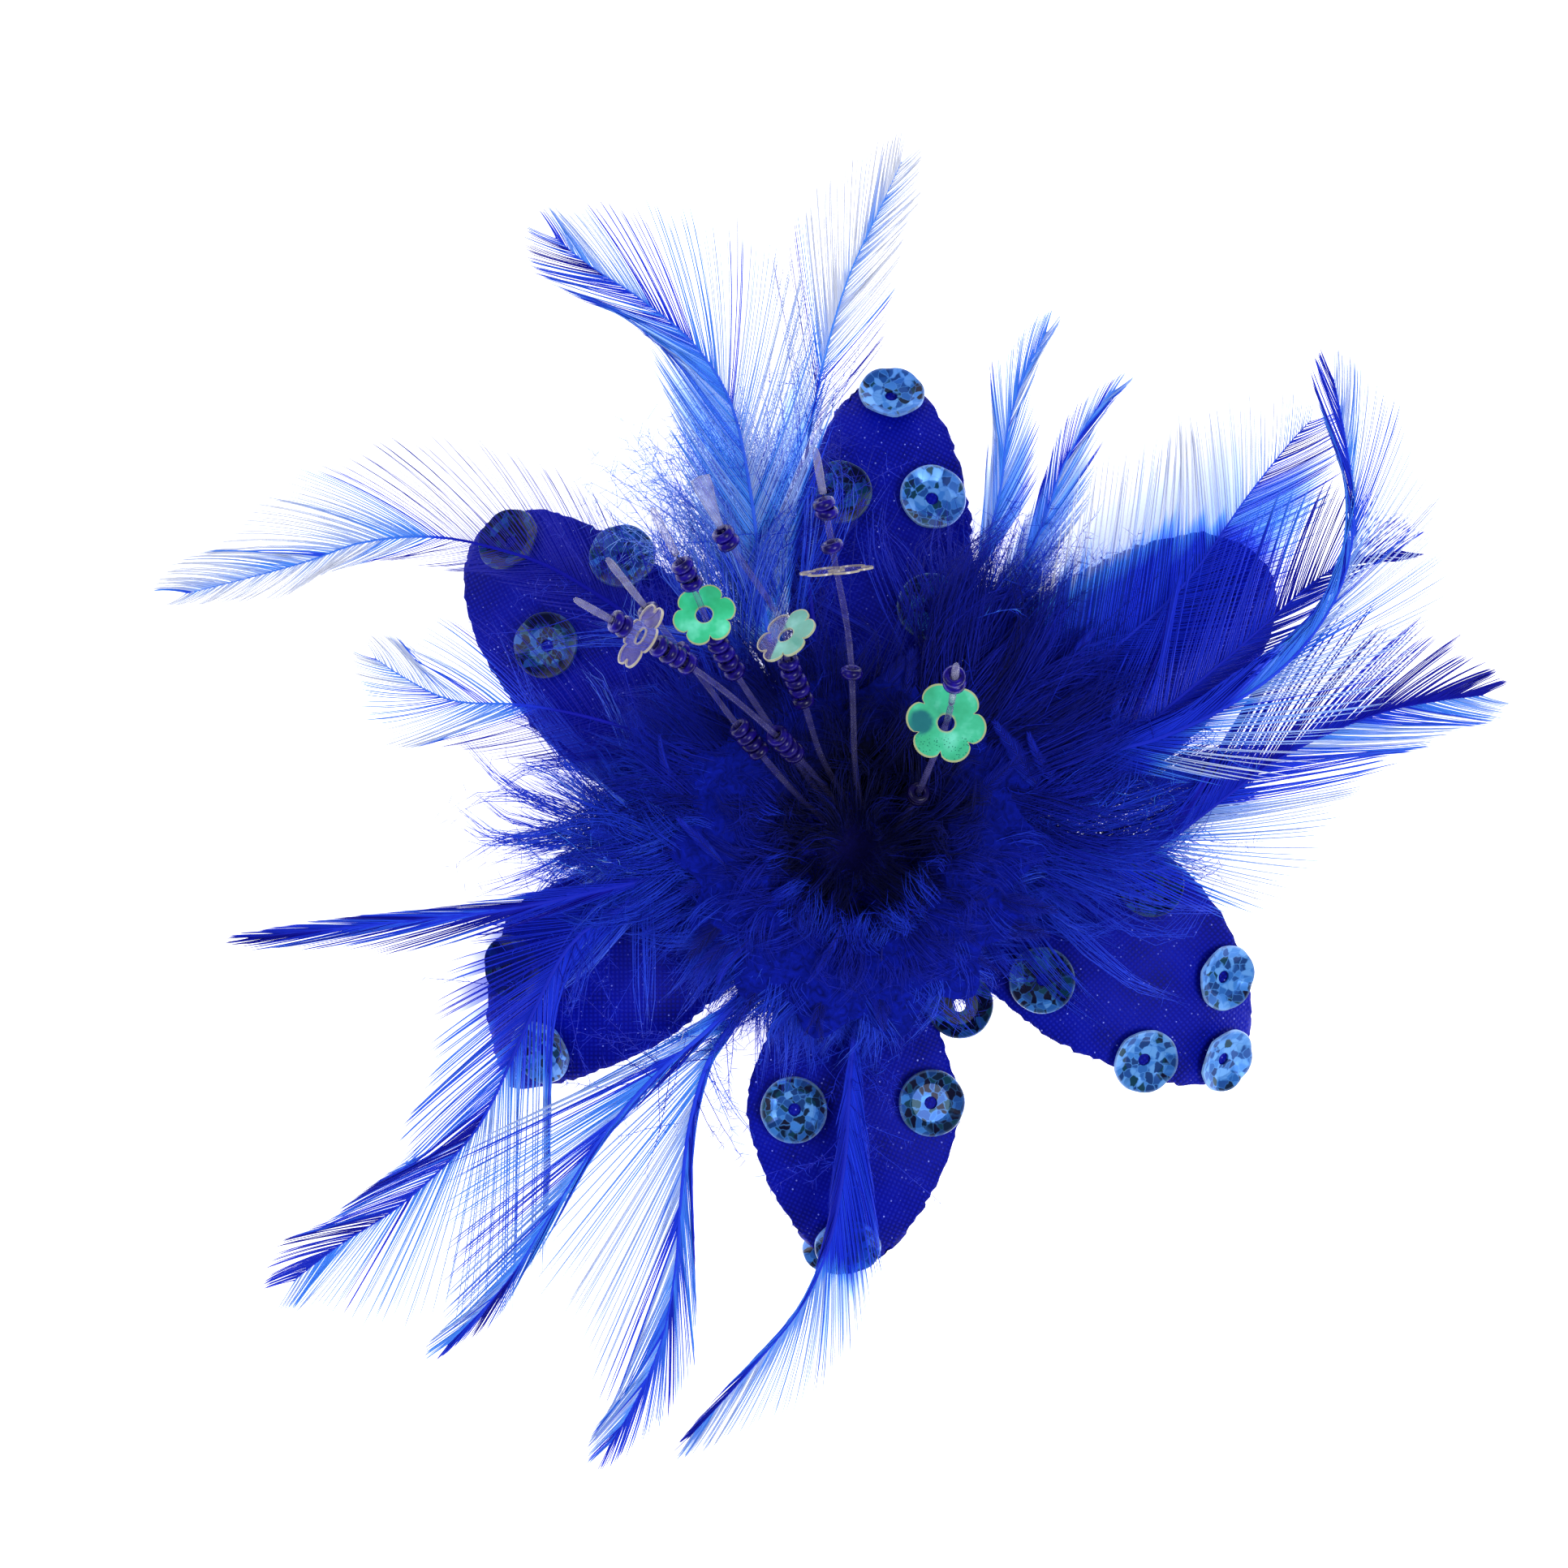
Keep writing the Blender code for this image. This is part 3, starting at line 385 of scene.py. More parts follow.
def along_route(route, shares):
    """Points and directions at shares of a route's length."""
    steps = np.linalg.norm(np.diff(route, axis=0), axis=1)
    marks = np.concatenate(([0.0], np.cumsum(steps))) / steps.sum()
    shares = np.clip(np.asarray(shares, float), 0.0, 1.0)
    points = np.stack([np.interp(shares, marks, route[:, i]) for i in range(3)], axis=-1)
    ahead = np.stack([np.interp(shares + 0.01, marks, route[:, i]) for i in range(3)], axis=-1)
    behind = np.stack([np.interp(shares - 0.01, marks, route[:, i]) for i in range(3)], axis=-1)
    return points, unit(ahead - behind)


def route_length(route):
    """Length of a route."""
    return float(np.linalg.norm(np.diff(route, axis=0), axis=1).sum())


def unit(vectors):
    """Vectors of length 1 along the last axis."""
    return vectors / np.maximum(np.linalg.norm(vectors, axis=-1, keepdims=True), 1e-9)


def polar(radius, turn, height):
    """Points from radii, turns and heights."""
    return np.stack((radius * np.cos(turn), radius * np.sin(turn), height), axis=-1)


def between(values, row, low, part):
    """Values part of the way from station low of each row to its next station."""
    return values[row, low] * (1 - part) + values[row, low + 1] * part


def placing(place, facing):
    """The matrix that turns a shape from facing up to another way and puts it in its place."""
    return Matrix.Translation(Vector(place)) @ UP.rotation_difference(facing).to_matrix().to_4x4()


def link(name, mesh, materials):
    """Link a finished mesh as a piece that rides with the flower."""
    piece = bpy.data.objects.new(name, mesh)
    bpy.context.scene.collection.objects.link(piece)
    for material in materials:
        mesh.materials.append(material)
    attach(piece, "root")
    return piece


def face_up(bm):
    """Turn an open sheet's faces the same way, with most of them up."""
    bmesh.ops.recalc_face_normals(bm, faces=bm.faces)
    if sum(face.normal.z for face in bm.faces) < 0:
        bmesh.ops.reverse_faces(bm, faces=bm.faces)


def finish_mesh(name, bm, closed=True):
    """Turn a bmesh in millimetres into a mesh in metres, with its faces outwards."""
    if closed:
        bmesh.ops.recalc_face_normals(bm, faces=bm.faces)
    else:
        face_up(bm)
    bmesh.ops.scale(bm, vec=(MM, MM, MM), verts=bm.verts)
    mesh = bpy.data.meshes.new(name)
    bm.to_mesh(mesh)
    bm.free()
    return mesh


def finish_sequin(name, bm, place, facing, sharp_angle):
    """Give a sequin's film its thickness and place, and keep edges over an angle sharp."""
    bmesh.ops.solidify(bm, geom=bm.faces, thickness=FILM_THICKNESS)
    bmesh.ops.transform(bm, matrix=placing(place, Vector(facing).normalized()), verts=bm.verts)
    mesh = finish_mesh(name, bm)
    mesh.shade_smooth()
    mesh.set_sharp_from_angle(angle=math.radians(sharp_angle))
    return mesh


class Strands:
    """Many fine strands gathered for one mesh. Each is a closed prism that ends in a point."""

    def __init__(self):
        self.points, self.faces, self.tones, self.covers, self.slots, self.count = [], [], [], [], [], 0

    def add(self, paths, radii, tones, sides=3, flatten=0.7, slot=0, covers=1.0):
        """Add strands: paths (strand, ring, xyz), radii, tones and covers (strand, ring)."""
        paths = np.asarray(paths, float)
        n, k, _ = paths.shape
        radii = np.broadcast_to(radii, (n, k))
        forward = unit(np.gradient(paths, axis=1))
        # Not quite straight up, so that no strand runs along it
        side = unit(np.cross(forward, np.array((1e-4, 0.7e-4, 1.0))))
        above = np.cross(side, forward)
        turns = np.arange(sides) / sides * math.tau + math.pi / 2
        rings = (paths[:, :-1, None]
                 + radii[:, :-1, None, None] * (side[:, :-1, None] * np.cos(turns)[:, None]
                                                + above[:, :-1, None] * flatten * np.sin(turns)[:, None]))
        points = np.concatenate((rings.reshape(n, -1, 3), paths[:, -1:]), axis=1)
        per = (k - 1) * sides + 1
        around, ring = np.meshgrid(np.arange(sides), np.arange(k - 2) * sides)
        nxt = (around + 1) % sides
        quads = np.stack((ring + around, ring + sides + around, ring + sides + nxt, ring + nxt), axis=-1)
        last = (k - 2) * sides
        spin = np.arange(sides)
        tips = np.stack((last + spin, np.full(sides, per - 1), last + (spin + 1) % sides), axis=-1)
        starts = self.count + np.arange(n)[:, None, None] * per
        self.faces.append((quads.reshape(1, -1, 4) + starts).reshape(-1, 4))
        self.faces.append((tips[None] + starts).reshape(-1, 3))
        self.faces.append((spin[None, None] + starts).reshape(-1, sides))
        self.points.append(points.reshape(-1, 3))
        for values, kept in ((tones, self.tones), (covers, self.covers)):
            values = np.broadcast_to(values, (n, k))
            around_rings = np.repeat(values[:, :-1], sides, axis=1)
            kept.append(np.concatenate((around_rings, values[:, -1:]), axis=1).ravel())
        self.slots += [slot] * (n * (len(quads.reshape(-1, 4)) + sides + 1))
        self.count += n * per

    def add_sheets(self, grids, tones, covers, thickness=0.06, slot=1):
        """Add thin closed sheets: grids (sheet, row, column, xyz), and at each point a tone
        and a cover, which is how dense the sheet is there."""
        grids = np.asarray(grids, float)
        n, rows, columns, _ = grids.shape
        normal = unit(np.cross(np.gradient(grids, axis=1), np.gradient(grids, axis=2))) * thickness / 2
        points = np.stack((grids + normal, grids - normal), axis=1)
        row, column = np.meshgrid(np.arange(rows - 1), np.arange(columns - 1), indexing="ij")
        corner = (row * columns + column).ravel()
        top = np.stack((corner, corner + columns, corner + columns + 1, corner + 1), axis=-1)
        under = rows * columns
        rim = np.concatenate((np.arange(rows - 1) * columns,
                              (rows - 1) * columns + np.arange(columns - 1),
                              np.arange(rows - 1, 0, -1) * columns + columns - 1,
                              np.arange(columns - 1, 0, -1)))
        after = np.roll(rim, -1)
        sides = np.stack((after, rim, rim + under, after + under), axis=-1)
        faces = np.concatenate((top, top[:, ::-1] + under, sides))
        starts = self.count + np.arange(n)[:, None, None] * 2 * under
        self.faces.append((faces[None] + starts).reshape(-1, 4))
        self.points.append(points.reshape(-1, 3))
        for values, kept in ((tones, self.tones), (covers, self.covers)):
            values = np.broadcast_to(values, (n, rows, columns))
            kept.append(np.stack((values, values), axis=1).ravel())
        self.slots += [slot] * (n * len(faces))
        self.count += n * 2 * under

    def mesh(self, name, soft=0.0):
        """One mesh in metres, with a tone and a cover at each point. Soft turns the shading
        normals up by that share, as light that scatters through fine down looks."""
        points = np.concatenate(self.points) * MM
        loops = np.concatenate([faces.ravel() for faces in self.faces])
        totals = np.concatenate([np.full(len(faces), faces.shape[1]) for faces in self.faces])
        mesh = bpy.data.meshes.new(name)
        mesh.vertices.add(len(points))
        mesh.vertices.foreach_set("co", points.astype(np.float32).ravel())
        mesh.loops.add(len(loops))
        mesh.loops.foreach_set("vertex_index", loops.astype(np.int32))
        mesh.polygons.add(len(totals))
        mesh.polygons.foreach_set("loop_start", (np.cumsum(totals) - totals).astype(np.int32))
        mesh.polygons.foreach_set("material_index", np.array(self.slots, np.int32))
        mesh.update(calc_edges=True)
        for key, values in (("tone", self.tones), ("cover", self.covers)):
            layer = mesh.attributes.new(key, "FLOAT", "POINT")
            layer.data.foreach_set("value", np.concatenate(values).astype(np.float32))
        mesh.shade_smooth()
        if mesh.validate():
            raise RuntimeError(name + ": the strands make a broken mesh")
        if soft:
            normals = np.empty(3 * len(points), np.float32)
            mesh.vertices.foreach_get("normal", normals)
            normals = normals.reshape(-1, 3)
            lift = soft * (0.5 + 0.5 * normals[:, 2:])
            normals = normals * (1 - lift) + lift * np.array((0, 0, 1), np.float32)
            mesh.normals_split_custom_set_from_vertices(unit(normals).tolist())
        return mesh


def add_node(material, kind, settings=None, **inputs):
    """Add a shader node to a material or a world, with its settings and links. An input is
    called by its name, or by n and its number, and is a value, a colour or another node's
    output. Stops are the places and colours of a colour ramp."""
    node = material.node_tree.nodes.new(kind)
    for key, value in (settings or {}).items():
        if key == "interpolation":
            node.color_ramp.interpolation = value
        elif key == "stops":
            entries = node.color_ramp.elements
            while len(entries) < len(value):
                entries.new(0.5)
            for entry, (place, colour) in zip(entries, value):
                entry.position = place
                entry.color = rgba(colour)
        else:
            setattr(node, key, value)
    for key, value in inputs.items():
        numbered = key[0] == "n" and key[1:].isdigit()
        socket = node.inputs[int(key[1:]) if numbered else key.replace("_", " ")]
        if isinstance(value, bpy.types.NodeSocket):
            material.node_tree.links.new(value, socket)
        else:
            socket.default_value = rgba(value) if socket.type == "RGBA" else value
    return node


def new_material(name):
    """A material with only its output node."""
    material = bpy.data.materials.new(name)
    material.use_nodes = True
    material.node_tree.nodes.clear()
    material.node_tree.nodes.new("ShaderNodeOutputMaterial")
    return material


def put_out(material, shader):
    """Join a shader to the material's output."""
    output = next(node for node in material.node_tree.nodes if node.type == "OUTPUT_MATERIAL")
    material.node_tree.links.new(shader, output.inputs["Surface"])
    return material


TONE_PLACES = (0.0, 0.35, 0.7, 1.0)    # navy, royal blue, sky blue, pale


def dyed_hair(name, face_tones):
    """A dyed barb, hair or thread: matt keratin or polyester, coloured by its tone."""
    material = new_material(name)
    tone = add_node(material, "ShaderNodeAttribute", {"attribute_name": "tone"}).outputs["Fac"]
    face = add_node(material, "ShaderNodeValToRGB", {"stops": tuple(zip(TONE_PLACES, face_tones))}, Fac=tone)
    shader = add_node(material, "ShaderNodeBsdfPrincipled", Base_Color=face.outputs[0], Roughness=0.55,
                      Specular_IOR_Level=0.1)
    return put_out(material, shader.outputs[0])


def dyed_web(name, face_tones, tint_tones, open_share):
    """The web between barbs: so thin that what is behind shows through, tinted."""
    material = new_material(name)
    tone = add_node(material, "ShaderNodeAttribute", {"attribute_name": "tone"}).outputs["Fac"]
    cover = add_node(material, "ShaderNodeAttribute", {"attribute_name": "cover"}).outputs["Fac"]
    face, tint = [add_node(material, "ShaderNodeValToRGB", {"stops": tuple(zip(TONE_PLACES, tones))},
                           Fac=tone).outputs[0] for tones in (face_tones, tint_tones)]
    dyed = add_node(material, "ShaderNodeMix", {"data_type": "RGBA"}, n0=cover, n6="#ffffff", n7=tint)
    gaps = add_node(material, "ShaderNodeMapRange", Value=cover, To_Min=1.0, To_Max=open_share)
    shader = add_node(material, "ShaderNodeBsdfPrincipled", Base_Color=face, Roughness=0.5,
                      Specular_IOR_Level=0.12)
    through = add_node(material, "ShaderNodeBsdfTransparent", Color=dyed.outputs[2])
    mixed = add_node(material, "ShaderNodeMixShader", n0=gaps.outputs[0], n1=shader.outputs[0],
                     n2=through.outputs[0])
    return put_out(material, mixed.outputs[0])


class FASCINATOR_OT_stage(bpy.types.Operator):
    """Make the pale light table, the soft lights and the camera over the flower"""
    bl_idname = "fascinator.stage"
    bl_label = "Stage and camera"

    def execute(self, context):
        scene = context.scene
        scene.view_settings.view_transform = "Standard"
        camera = bpy.data.objects.new("camera", bpy.data.cameras.new("camera"))
        camera.data.sensor_width = SENSOR_WIDTH
        camera.data.lens = CAMERA_LENS
        camera.data.clip_start = 0.01
        camera.location = Vector(CAMERA_PLACE) * MM
        scene.collection.objects.link(camera)
        scene.camera = camera

        bm = bmesh.new()
        bmesh.ops.create_grid(bm, x_segments=1, y_segments=1, size=TABLE_REACH)
        mesh = bpy.data.meshes.new("light_table")
        bm.to_mesh(mesh)
        bm.free()
        table = bpy.data.objects.new("light_table", mesh)
        scene.collection.objects.link(table)
        # Opal acrylic lit from inside: the photograph's floor is white with no shadow
        opal = new_material("opal_acrylic")
        ray = add_node(opal, "ShaderNodeLightPath")
        glow = add_node(opal, "ShaderNodeMapRange", Value=ray.outputs["Is Camera Ray"],
                        To_Min=BACKLIGHT, To_Max=1.0)
        shader = add_node(opal, "ShaderNodeBsdfPrincipled", Base_Color=(0.9, 0.9, 0.9), Roughness=0.6,
                          Emission_Color=(1.0, 1.0, 1.0), Emission_Strength=glow.outputs[0])
        mesh.materials.append(put_out(opal, shader.outputs[0]))
        table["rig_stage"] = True

        for name, place, size, watts in LIGHTS:
            light = bpy.data.lights.new(name, "AREA")
            light.size = size
            light.energy = watts
            lamp = bpy.data.objects.new(name, light)
            lamp.location = place
            lamp.rotation_mode = "QUATERNION"
            lamp.rotation_quaternion = (-Vector(place)).to_track_quat("-Z", "Y")
            scene.collection.objects.link(lamp)
        world = bpy.data.worlds.new("studio")
        world.use_nodes = True
        nodes = world.node_tree.nodes
        room = nodes["Background"]
        room.inputs["Color"].default_value = ROOM_COLOUR
        room.inputs["Strength"].default_value = ROOM_STRENGTH
        backdrop = add_node(world, "ShaderNodeBackground", Strength=1.0)
        ray = add_node(world, "ShaderNodeLightPath")
        mixed = add_node(world, "ShaderNodeMixShader", n0=ray.outputs["Is Camera Ray"], n1=room.outputs[0],
                         n2=backdrop.outputs[0])
        world.node_tree.links.new(mixed.outputs[0], nodes["World Output"].inputs["Surface"])
        scene.world = world
        return {"FINISHED"}


def neighbour_angle(petal, side):
    """Half the angle to the next petal on the left (+1) or the right (-1)."""
    turns = [((other["direction"] - petal["direction"]) * side) % 360.0
             for other in PETALS if other is not petal]
    return math.radians(min(turns) / 2)


def petal_closing(petal, along):
    """How far along the closing stretch a point is, from 0 to 1."""
    return min(max((along - PETAL_WIDEST) / (petal["length"] - PETAL_WIDEST), 0.0), 1.0)


def petal_half_width(petal, along, side):
    """Half width on one side: a wedge at the root, a waist, then a rounded end."""
    full = petal["left"] if side > 0 else petal["right"]
    past_roots = (along - PETAL_WAIST_START) / (PETAL_WAIST_END - PETAL_WAIST_START)
    waist = PETAL_WAIST + (1 - PETAL_WAIST) * ease(past_roots)
    power = petal["power"]
    closing = (1 - petal_closing(petal, along) ** power) ** (1 / power)
    half_angle = neighbour_angle(petal, side)
    wedge = along * math.tan(half_angle) - WEDGE_GAP / 2 / math.cos(half_angle)
    return max(min(full * waist * closing, wedge), PETAL_LEAST_WIDTH)


def petal_height(petal, along, across):
    """Height of the middle of the petal's wall."""
    rise = PETAL_RISE * ease((along - PETAL_FLAT) / (PETAL_PEAK - PETAL_FLAT))
    past = max((along - PETAL_PEAK) / (petal["length"] - PETAL_PEAK), 0.0)
    fall = (PETAL_ROOT_TOP + PETAL_RISE - petal["tip"]) * past ** PETAL_CURL
    full = petal["left"] if across > 0 else petal["right"]
    lean = petal["lean"] * petal_closing(petal, along) ** 2
    crown = PETAL_CROWN * ease((along - PETAL_CROWN_START) / PETAL_CROWN_REACH)
    droop = crown * ((across - lean) / full) ** 2
    return PETAL_ROOT_TOP - PETAL_THICKNESS / 2 + rise - fall - droop


def petal_point(petal, share, side):
    """The place on a petal's middle surface, before its turn: share out and side -1 to 1."""
    last_row = PETAL_WIDEST + PETAL_LAST_ROW * (petal["length"] - PETAL_WIDEST)
    row = PETAL_ROOT + share * (last_row - PETAL_ROOT)
    bulge = (petal["length"] - last_row) * share ** 4 * (1 - side * side)
    along = row + bulge + petal["slant"] * side * share ** 4
    half = petal_half_width(petal, row, 1 if side > 0 else -1)
    across = side * half + petal["lean"] * petal_closing(petal, row) ** 2
    return Vector((along, across, petal_height(petal, along, across)))


def satin_material():
    """Polyester satin, woven and stiffened: blue threads with a glint where one floats up."""
    c = colours()
    material = new_material("polyester_satin")
    place = add_node(material, "ShaderNodeUVMap", {"uv_map": "cloth"}).outputs[0]
    # The real threads are about 0.15 mm apart, drawn here at 0.52 mm so that they show
    weave = add_node(material, "ShaderNodeMapping", Vector=place, Rotation=(0, 0, math.radians(24)))
    warp, weft = [add_node(material, "ShaderNodeTexWave", {"bands_direction": way}, Vector=weave.outputs[0],
                           Scale=0.6, Distortion=0.8).outputs["Fac"] for way in "XY"]
    raised = add_node(material, "ShaderNodeMath", {"operation": "MULTIPLY"}, n0=warp, n1=weft)
    mottle = add_node(material, "ShaderNodeTexNoise", Vector=place, Scale=0.16, Detail=5.0)
    shade = add_node(material, "ShaderNodeMath", {"operation": "MULTIPLY_ADD"}, n0=raised.outputs[0],
                     n1=0.5, n2=mottle.outputs["Fac"])
    cloth = add_node(material, "ShaderNodeValToRGB",
                     {"stops": ((0.30, c.satin_dark), (0.60, c.satin), (1.0, "#0c1aa4"))},
                     Fac=shade.outputs[0])
    # Glints 0.53 mm apart: half of them show as pale points, a few of them bright
    cells = add_node(material, "ShaderNodeTexVoronoi", Vector=weave.outputs[0], Scale=1.9, Randomness=0.55)
    near = add_node(material, "ShaderNodeMath", {"operation": "LESS_THAN"}, n0=cells.outputs["Distance"],
                    n1=0.2)
    chance = add_node(material, "ShaderNodeSeparateColor", Color=cells.outputs["Color"])
    rare = add_node(material, "ShaderNodeMath", {"operation": "GREATER_THAN"}, n0=chance.outputs[0], n1=0.5)
    strength = add_node(material, "ShaderNodeMath", {"operation": "POWER"}, n0=chance.outputs[1], n1=4.0)
    glow = near.outputs[0]
    for factor in (rare, strength):
        glow = add_node(material, "ShaderNodeMath", {"operation": "MULTIPLY"}, n0=glow,
                        n1=factor.outputs[0]).outputs[0]
    mixed = add_node(material, "ShaderNodeMix", {"data_type": "RGBA"}, n0=glow, n6=cloth.outputs[0],
                     n7="#8492f4")
    bump = add_node(material, "ShaderNodeBump", Height=raised.outputs[0], Strength=0.5, Distance=0.0001)
    shader = add_node(material, "ShaderNodeBsdfPrincipled", Base_Color=mixed.outputs[2], Roughness=0.5,
                      Specular_IOR_Level=0.06, Normal=bump.outputs[0])
    return put_out(material, shader.outputs[0])


def make_petal_sheet(petal, materials):
    """One satin petal: a fine sheet with its wall, and frayed threads round its edge."""
    rng = np.random.default_rng(int(petal["direction"] * 10))
    bm = bmesh.new()
    bmesh.ops.create_grid(bm, x_segments=72, y_segments=30, size=0.5)
    cloth = bm.loops.layers.uv.new("cloth")
    ripple = rng.uniform(0, math.tau, 4)
    spots = {}
    for vert in bm.verts:
        share, side = vert.co.x + 0.5, 2 * vert.co.y
        point = petal_point(petal, share, side)
        edge = abs(side) ** 8 * min(share * 6, 1) + share ** 24
        jag = rng.normal(0, EDGE_JAG) * min(edge, 1.0)
        point.y += jag * (1 if side > 0 else -1)
        point.x += rng.normal(0, TIP_JAG) * share ** 24
        point.z += RIPPLE * (math.sin(point.x * 0.35 + ripple[0])
                             * math.sin(point.y * 0.4 + ripple[1]) * share)
        point.z = max(point.z, PETAL_THICKNESS / 2 + TABLE_GAP)
        spots[vert] = (point.x, point.y)
        vert.co = point
    for face in bm.faces:
        for loop in face.loops:
            loop[cloth].uv = spots[loop.vert]
    area = sum(face.calc_area() for face in bm.faces)
    rim = [vert.co.copy() for vert in bm.verts if vert.is_boundary and vert.co.x > FRAYED_FROM]
    turn = Matrix.Rotation(math.radians(petal["direction"]), 4, "Z")
    bmesh.ops.transform(bm, matrix=turn, verts=bm.verts)
    mesh = finish_mesh(petal["name"] + "_satin", bm, closed=False)
    mesh.shade_smooth()
    piece = link(petal["name"] + "_satin", mesh, materials[:1])
    wall = piece.modifiers.new("wall", "SOLIDIFY")
    wall.thickness = PETAL_THICKNESS * MM
    wall.offset = 0.0
    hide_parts(petal["name"])

    count = FRAYED_THREADS
    picks = [rim[i] for i in rng.integers(0, len(rim), count)]
    starts = np.array([tuple(point) for point in picks])
    out = starts - (PETAL_PEAK, 0, 0)
    out[:, 2] = 0
    out = unit(out) + rng.normal(0, 0.7, (count, 3)) * (1, 1, 0.4)
    reach = sizes().thread_length / MM * rng.beta(1.2, 4.0, count) + 0.15
    steps = np.linspace(0, 1, 4)[None, :, None]
    bend = rng.normal(0, 0.35, (count, 1, 3)) * (1, 1, 0.5) * reach[:, None, None]
    paths = (starts[:, None] - unit(out)[:, None] * 0.25
             + unit(out)[:, None] * reach[:, None, None] * steps + bend * steps ** 2)
    paths = paths @ np.array(turn.to_3x3()).T
    paths[:, :, 2] = np.maximum(paths[:, :, 2], 0.2)
    threads = Strands()
    threads.add(paths, np.linspace(0.045, 0.02, 4) * rng.uniform(0.7, 1.3, (count, 1)),
                rng.uniform(0.1, 1.0, (count, 1)))
    name = petal["name"] + "_frayed_threads"
    fringe = link(name, threads.mesh(name), materials[1:])


class FASCINATOR_OT_petals(bpy.types.Operator):
    """Make the six satin petals with their weave and frayed edges"""
    bl_idname = "fascinator.petals"
    bl_label = "Satin petals"

    def execute(self, context):
        threads = dyed_hair("frayed_satin_thread", ("#0a0a80", "#1a20b8", "#4a58e8", "#98a0ff"))
        materials = [satin_material(), threads]
        for petal in PETALS:
            make_petal_sheet(petal, materials)
        return {"FINISHED"}


def petal_frame(petal, x, y):
    """The point on the petal's middle surface over a place in plan, and its normal."""
    turn = math.radians(petal["direction"])
    along = x * math.cos(turn) + y * math.sin(turn)
    across = -x * math.sin(turn) + y * math.cos(turn)
    step = 0.5
    rise_along = petal_height(petal, along + step, across) - petal_height(petal, along - step, across)
    rise_across = petal_height(petal, along, across + step) - petal_height(petal, along, across - step)
    normal = Vector((-rise_along, -rise_across, 2 * step)).normalized()
    normal.rotate(Quaternion((0, 0, 1), turn))
    return Vector((x, y, petal_height(petal, along, across))), normal


def hologram_material():
    """Cup sequin of hologram film: a mosaic of blue and teal patches under clear varnish, with painted light:
    a lit sequin's tone lifts its patches to paler ones and lights the seams between them.
    """
    material = new_material("hologram_film")
    place = add_node(material, "ShaderNodeUVMap", {"uv_map": "film"}).outputs[0]
    tone = add_node(material, "ShaderNodeAttribute", {"attribute_name": "tone"}).outputs["Fac"]
    # The film's patches are 0.7 to 1.2 mm across
    warp = add_node(material, "ShaderNodeTexNoise", Vector=place, Scale=0.9, Detail=2.0)
    bent = add_node(material, "ShaderNodeVectorMath", {"operation": "MULTIPLY_ADD"}, n0=warp.outputs["Color"],
                    n1=(0.9, 0.9, 0.0), n2=place)
    patches = add_node(material, "ShaderNodeTexVoronoi", Vector=bent.outputs[0], Scale=1.05)
    chance = add_node(material, "ShaderNodeSeparateColor", Color=patches.outputs["Color"])
    # Painted light: a lit sequin's tone lifts it to paler patches
    lift = add_node(material, "ShaderNodeMath", {"operation": "MULTIPLY_ADD"}, n0=tone, n1=0.8,
                    n2=-0.45)
    pick = add_node(material, "ShaderNodeMath", {"operation": "ADD", "use_clamp": True}, n0=chance.outputs[0],
                    n1=lift.outputs[0])
    patch_colours = ((0.0, "#04082a"), (0.16, "#071f3c"), (0.30, "#0a3a50"), (0.42, "#123a78"),
                     (0.54, "#1c4c94"), (0.68, "#2762b0"), (0.82, "#3a7ccc"), (0.96, "#5c98dc"))
    colour = add_node(material, "ShaderNodeValToRGB", {"interpolation": "CONSTANT", "stops": patch_colours},
                      Fac=pick.outputs[0]).outputs[0]
    edges = add_node(material, "ShaderNodeTexVoronoi", {"feature": "DISTANCE_TO_EDGE"},
                     Vector=bent.outputs[0], Scale=1.05)
    line = add_node(material, "ShaderNodeMapRange", Value=edges.outputs["Distance"], From_Min=0.0,
                    From_Max=0.09, To_Min=1.0, To_Max=0.0)
    seam = add_node(material, "ShaderNodeMath", {"operation": "MULTIPLY"}, n0=line.outputs[0], n1=tone)
    rim = add_node(material, "ShaderNodeAttribute", {"attribute_name": "rim"})
    for share, over in ((seam.outputs[0], "#4a88d4"), (rim.outputs["Fac"], "#7c9cd0")):
        colour = add_node(material, "ShaderNodeMix", {"data_type": "RGBA"}, n0=share,
                          n6=colour, n7=over).outputs[2]
    shader = add_node(material, "ShaderNodeBsdfPrincipled", Base_Color=colour, Metallic=0.2,
                      Roughness=0.3, Specular_IOR_Level=0.2)
    return put_out(material, shader.outputs[0])


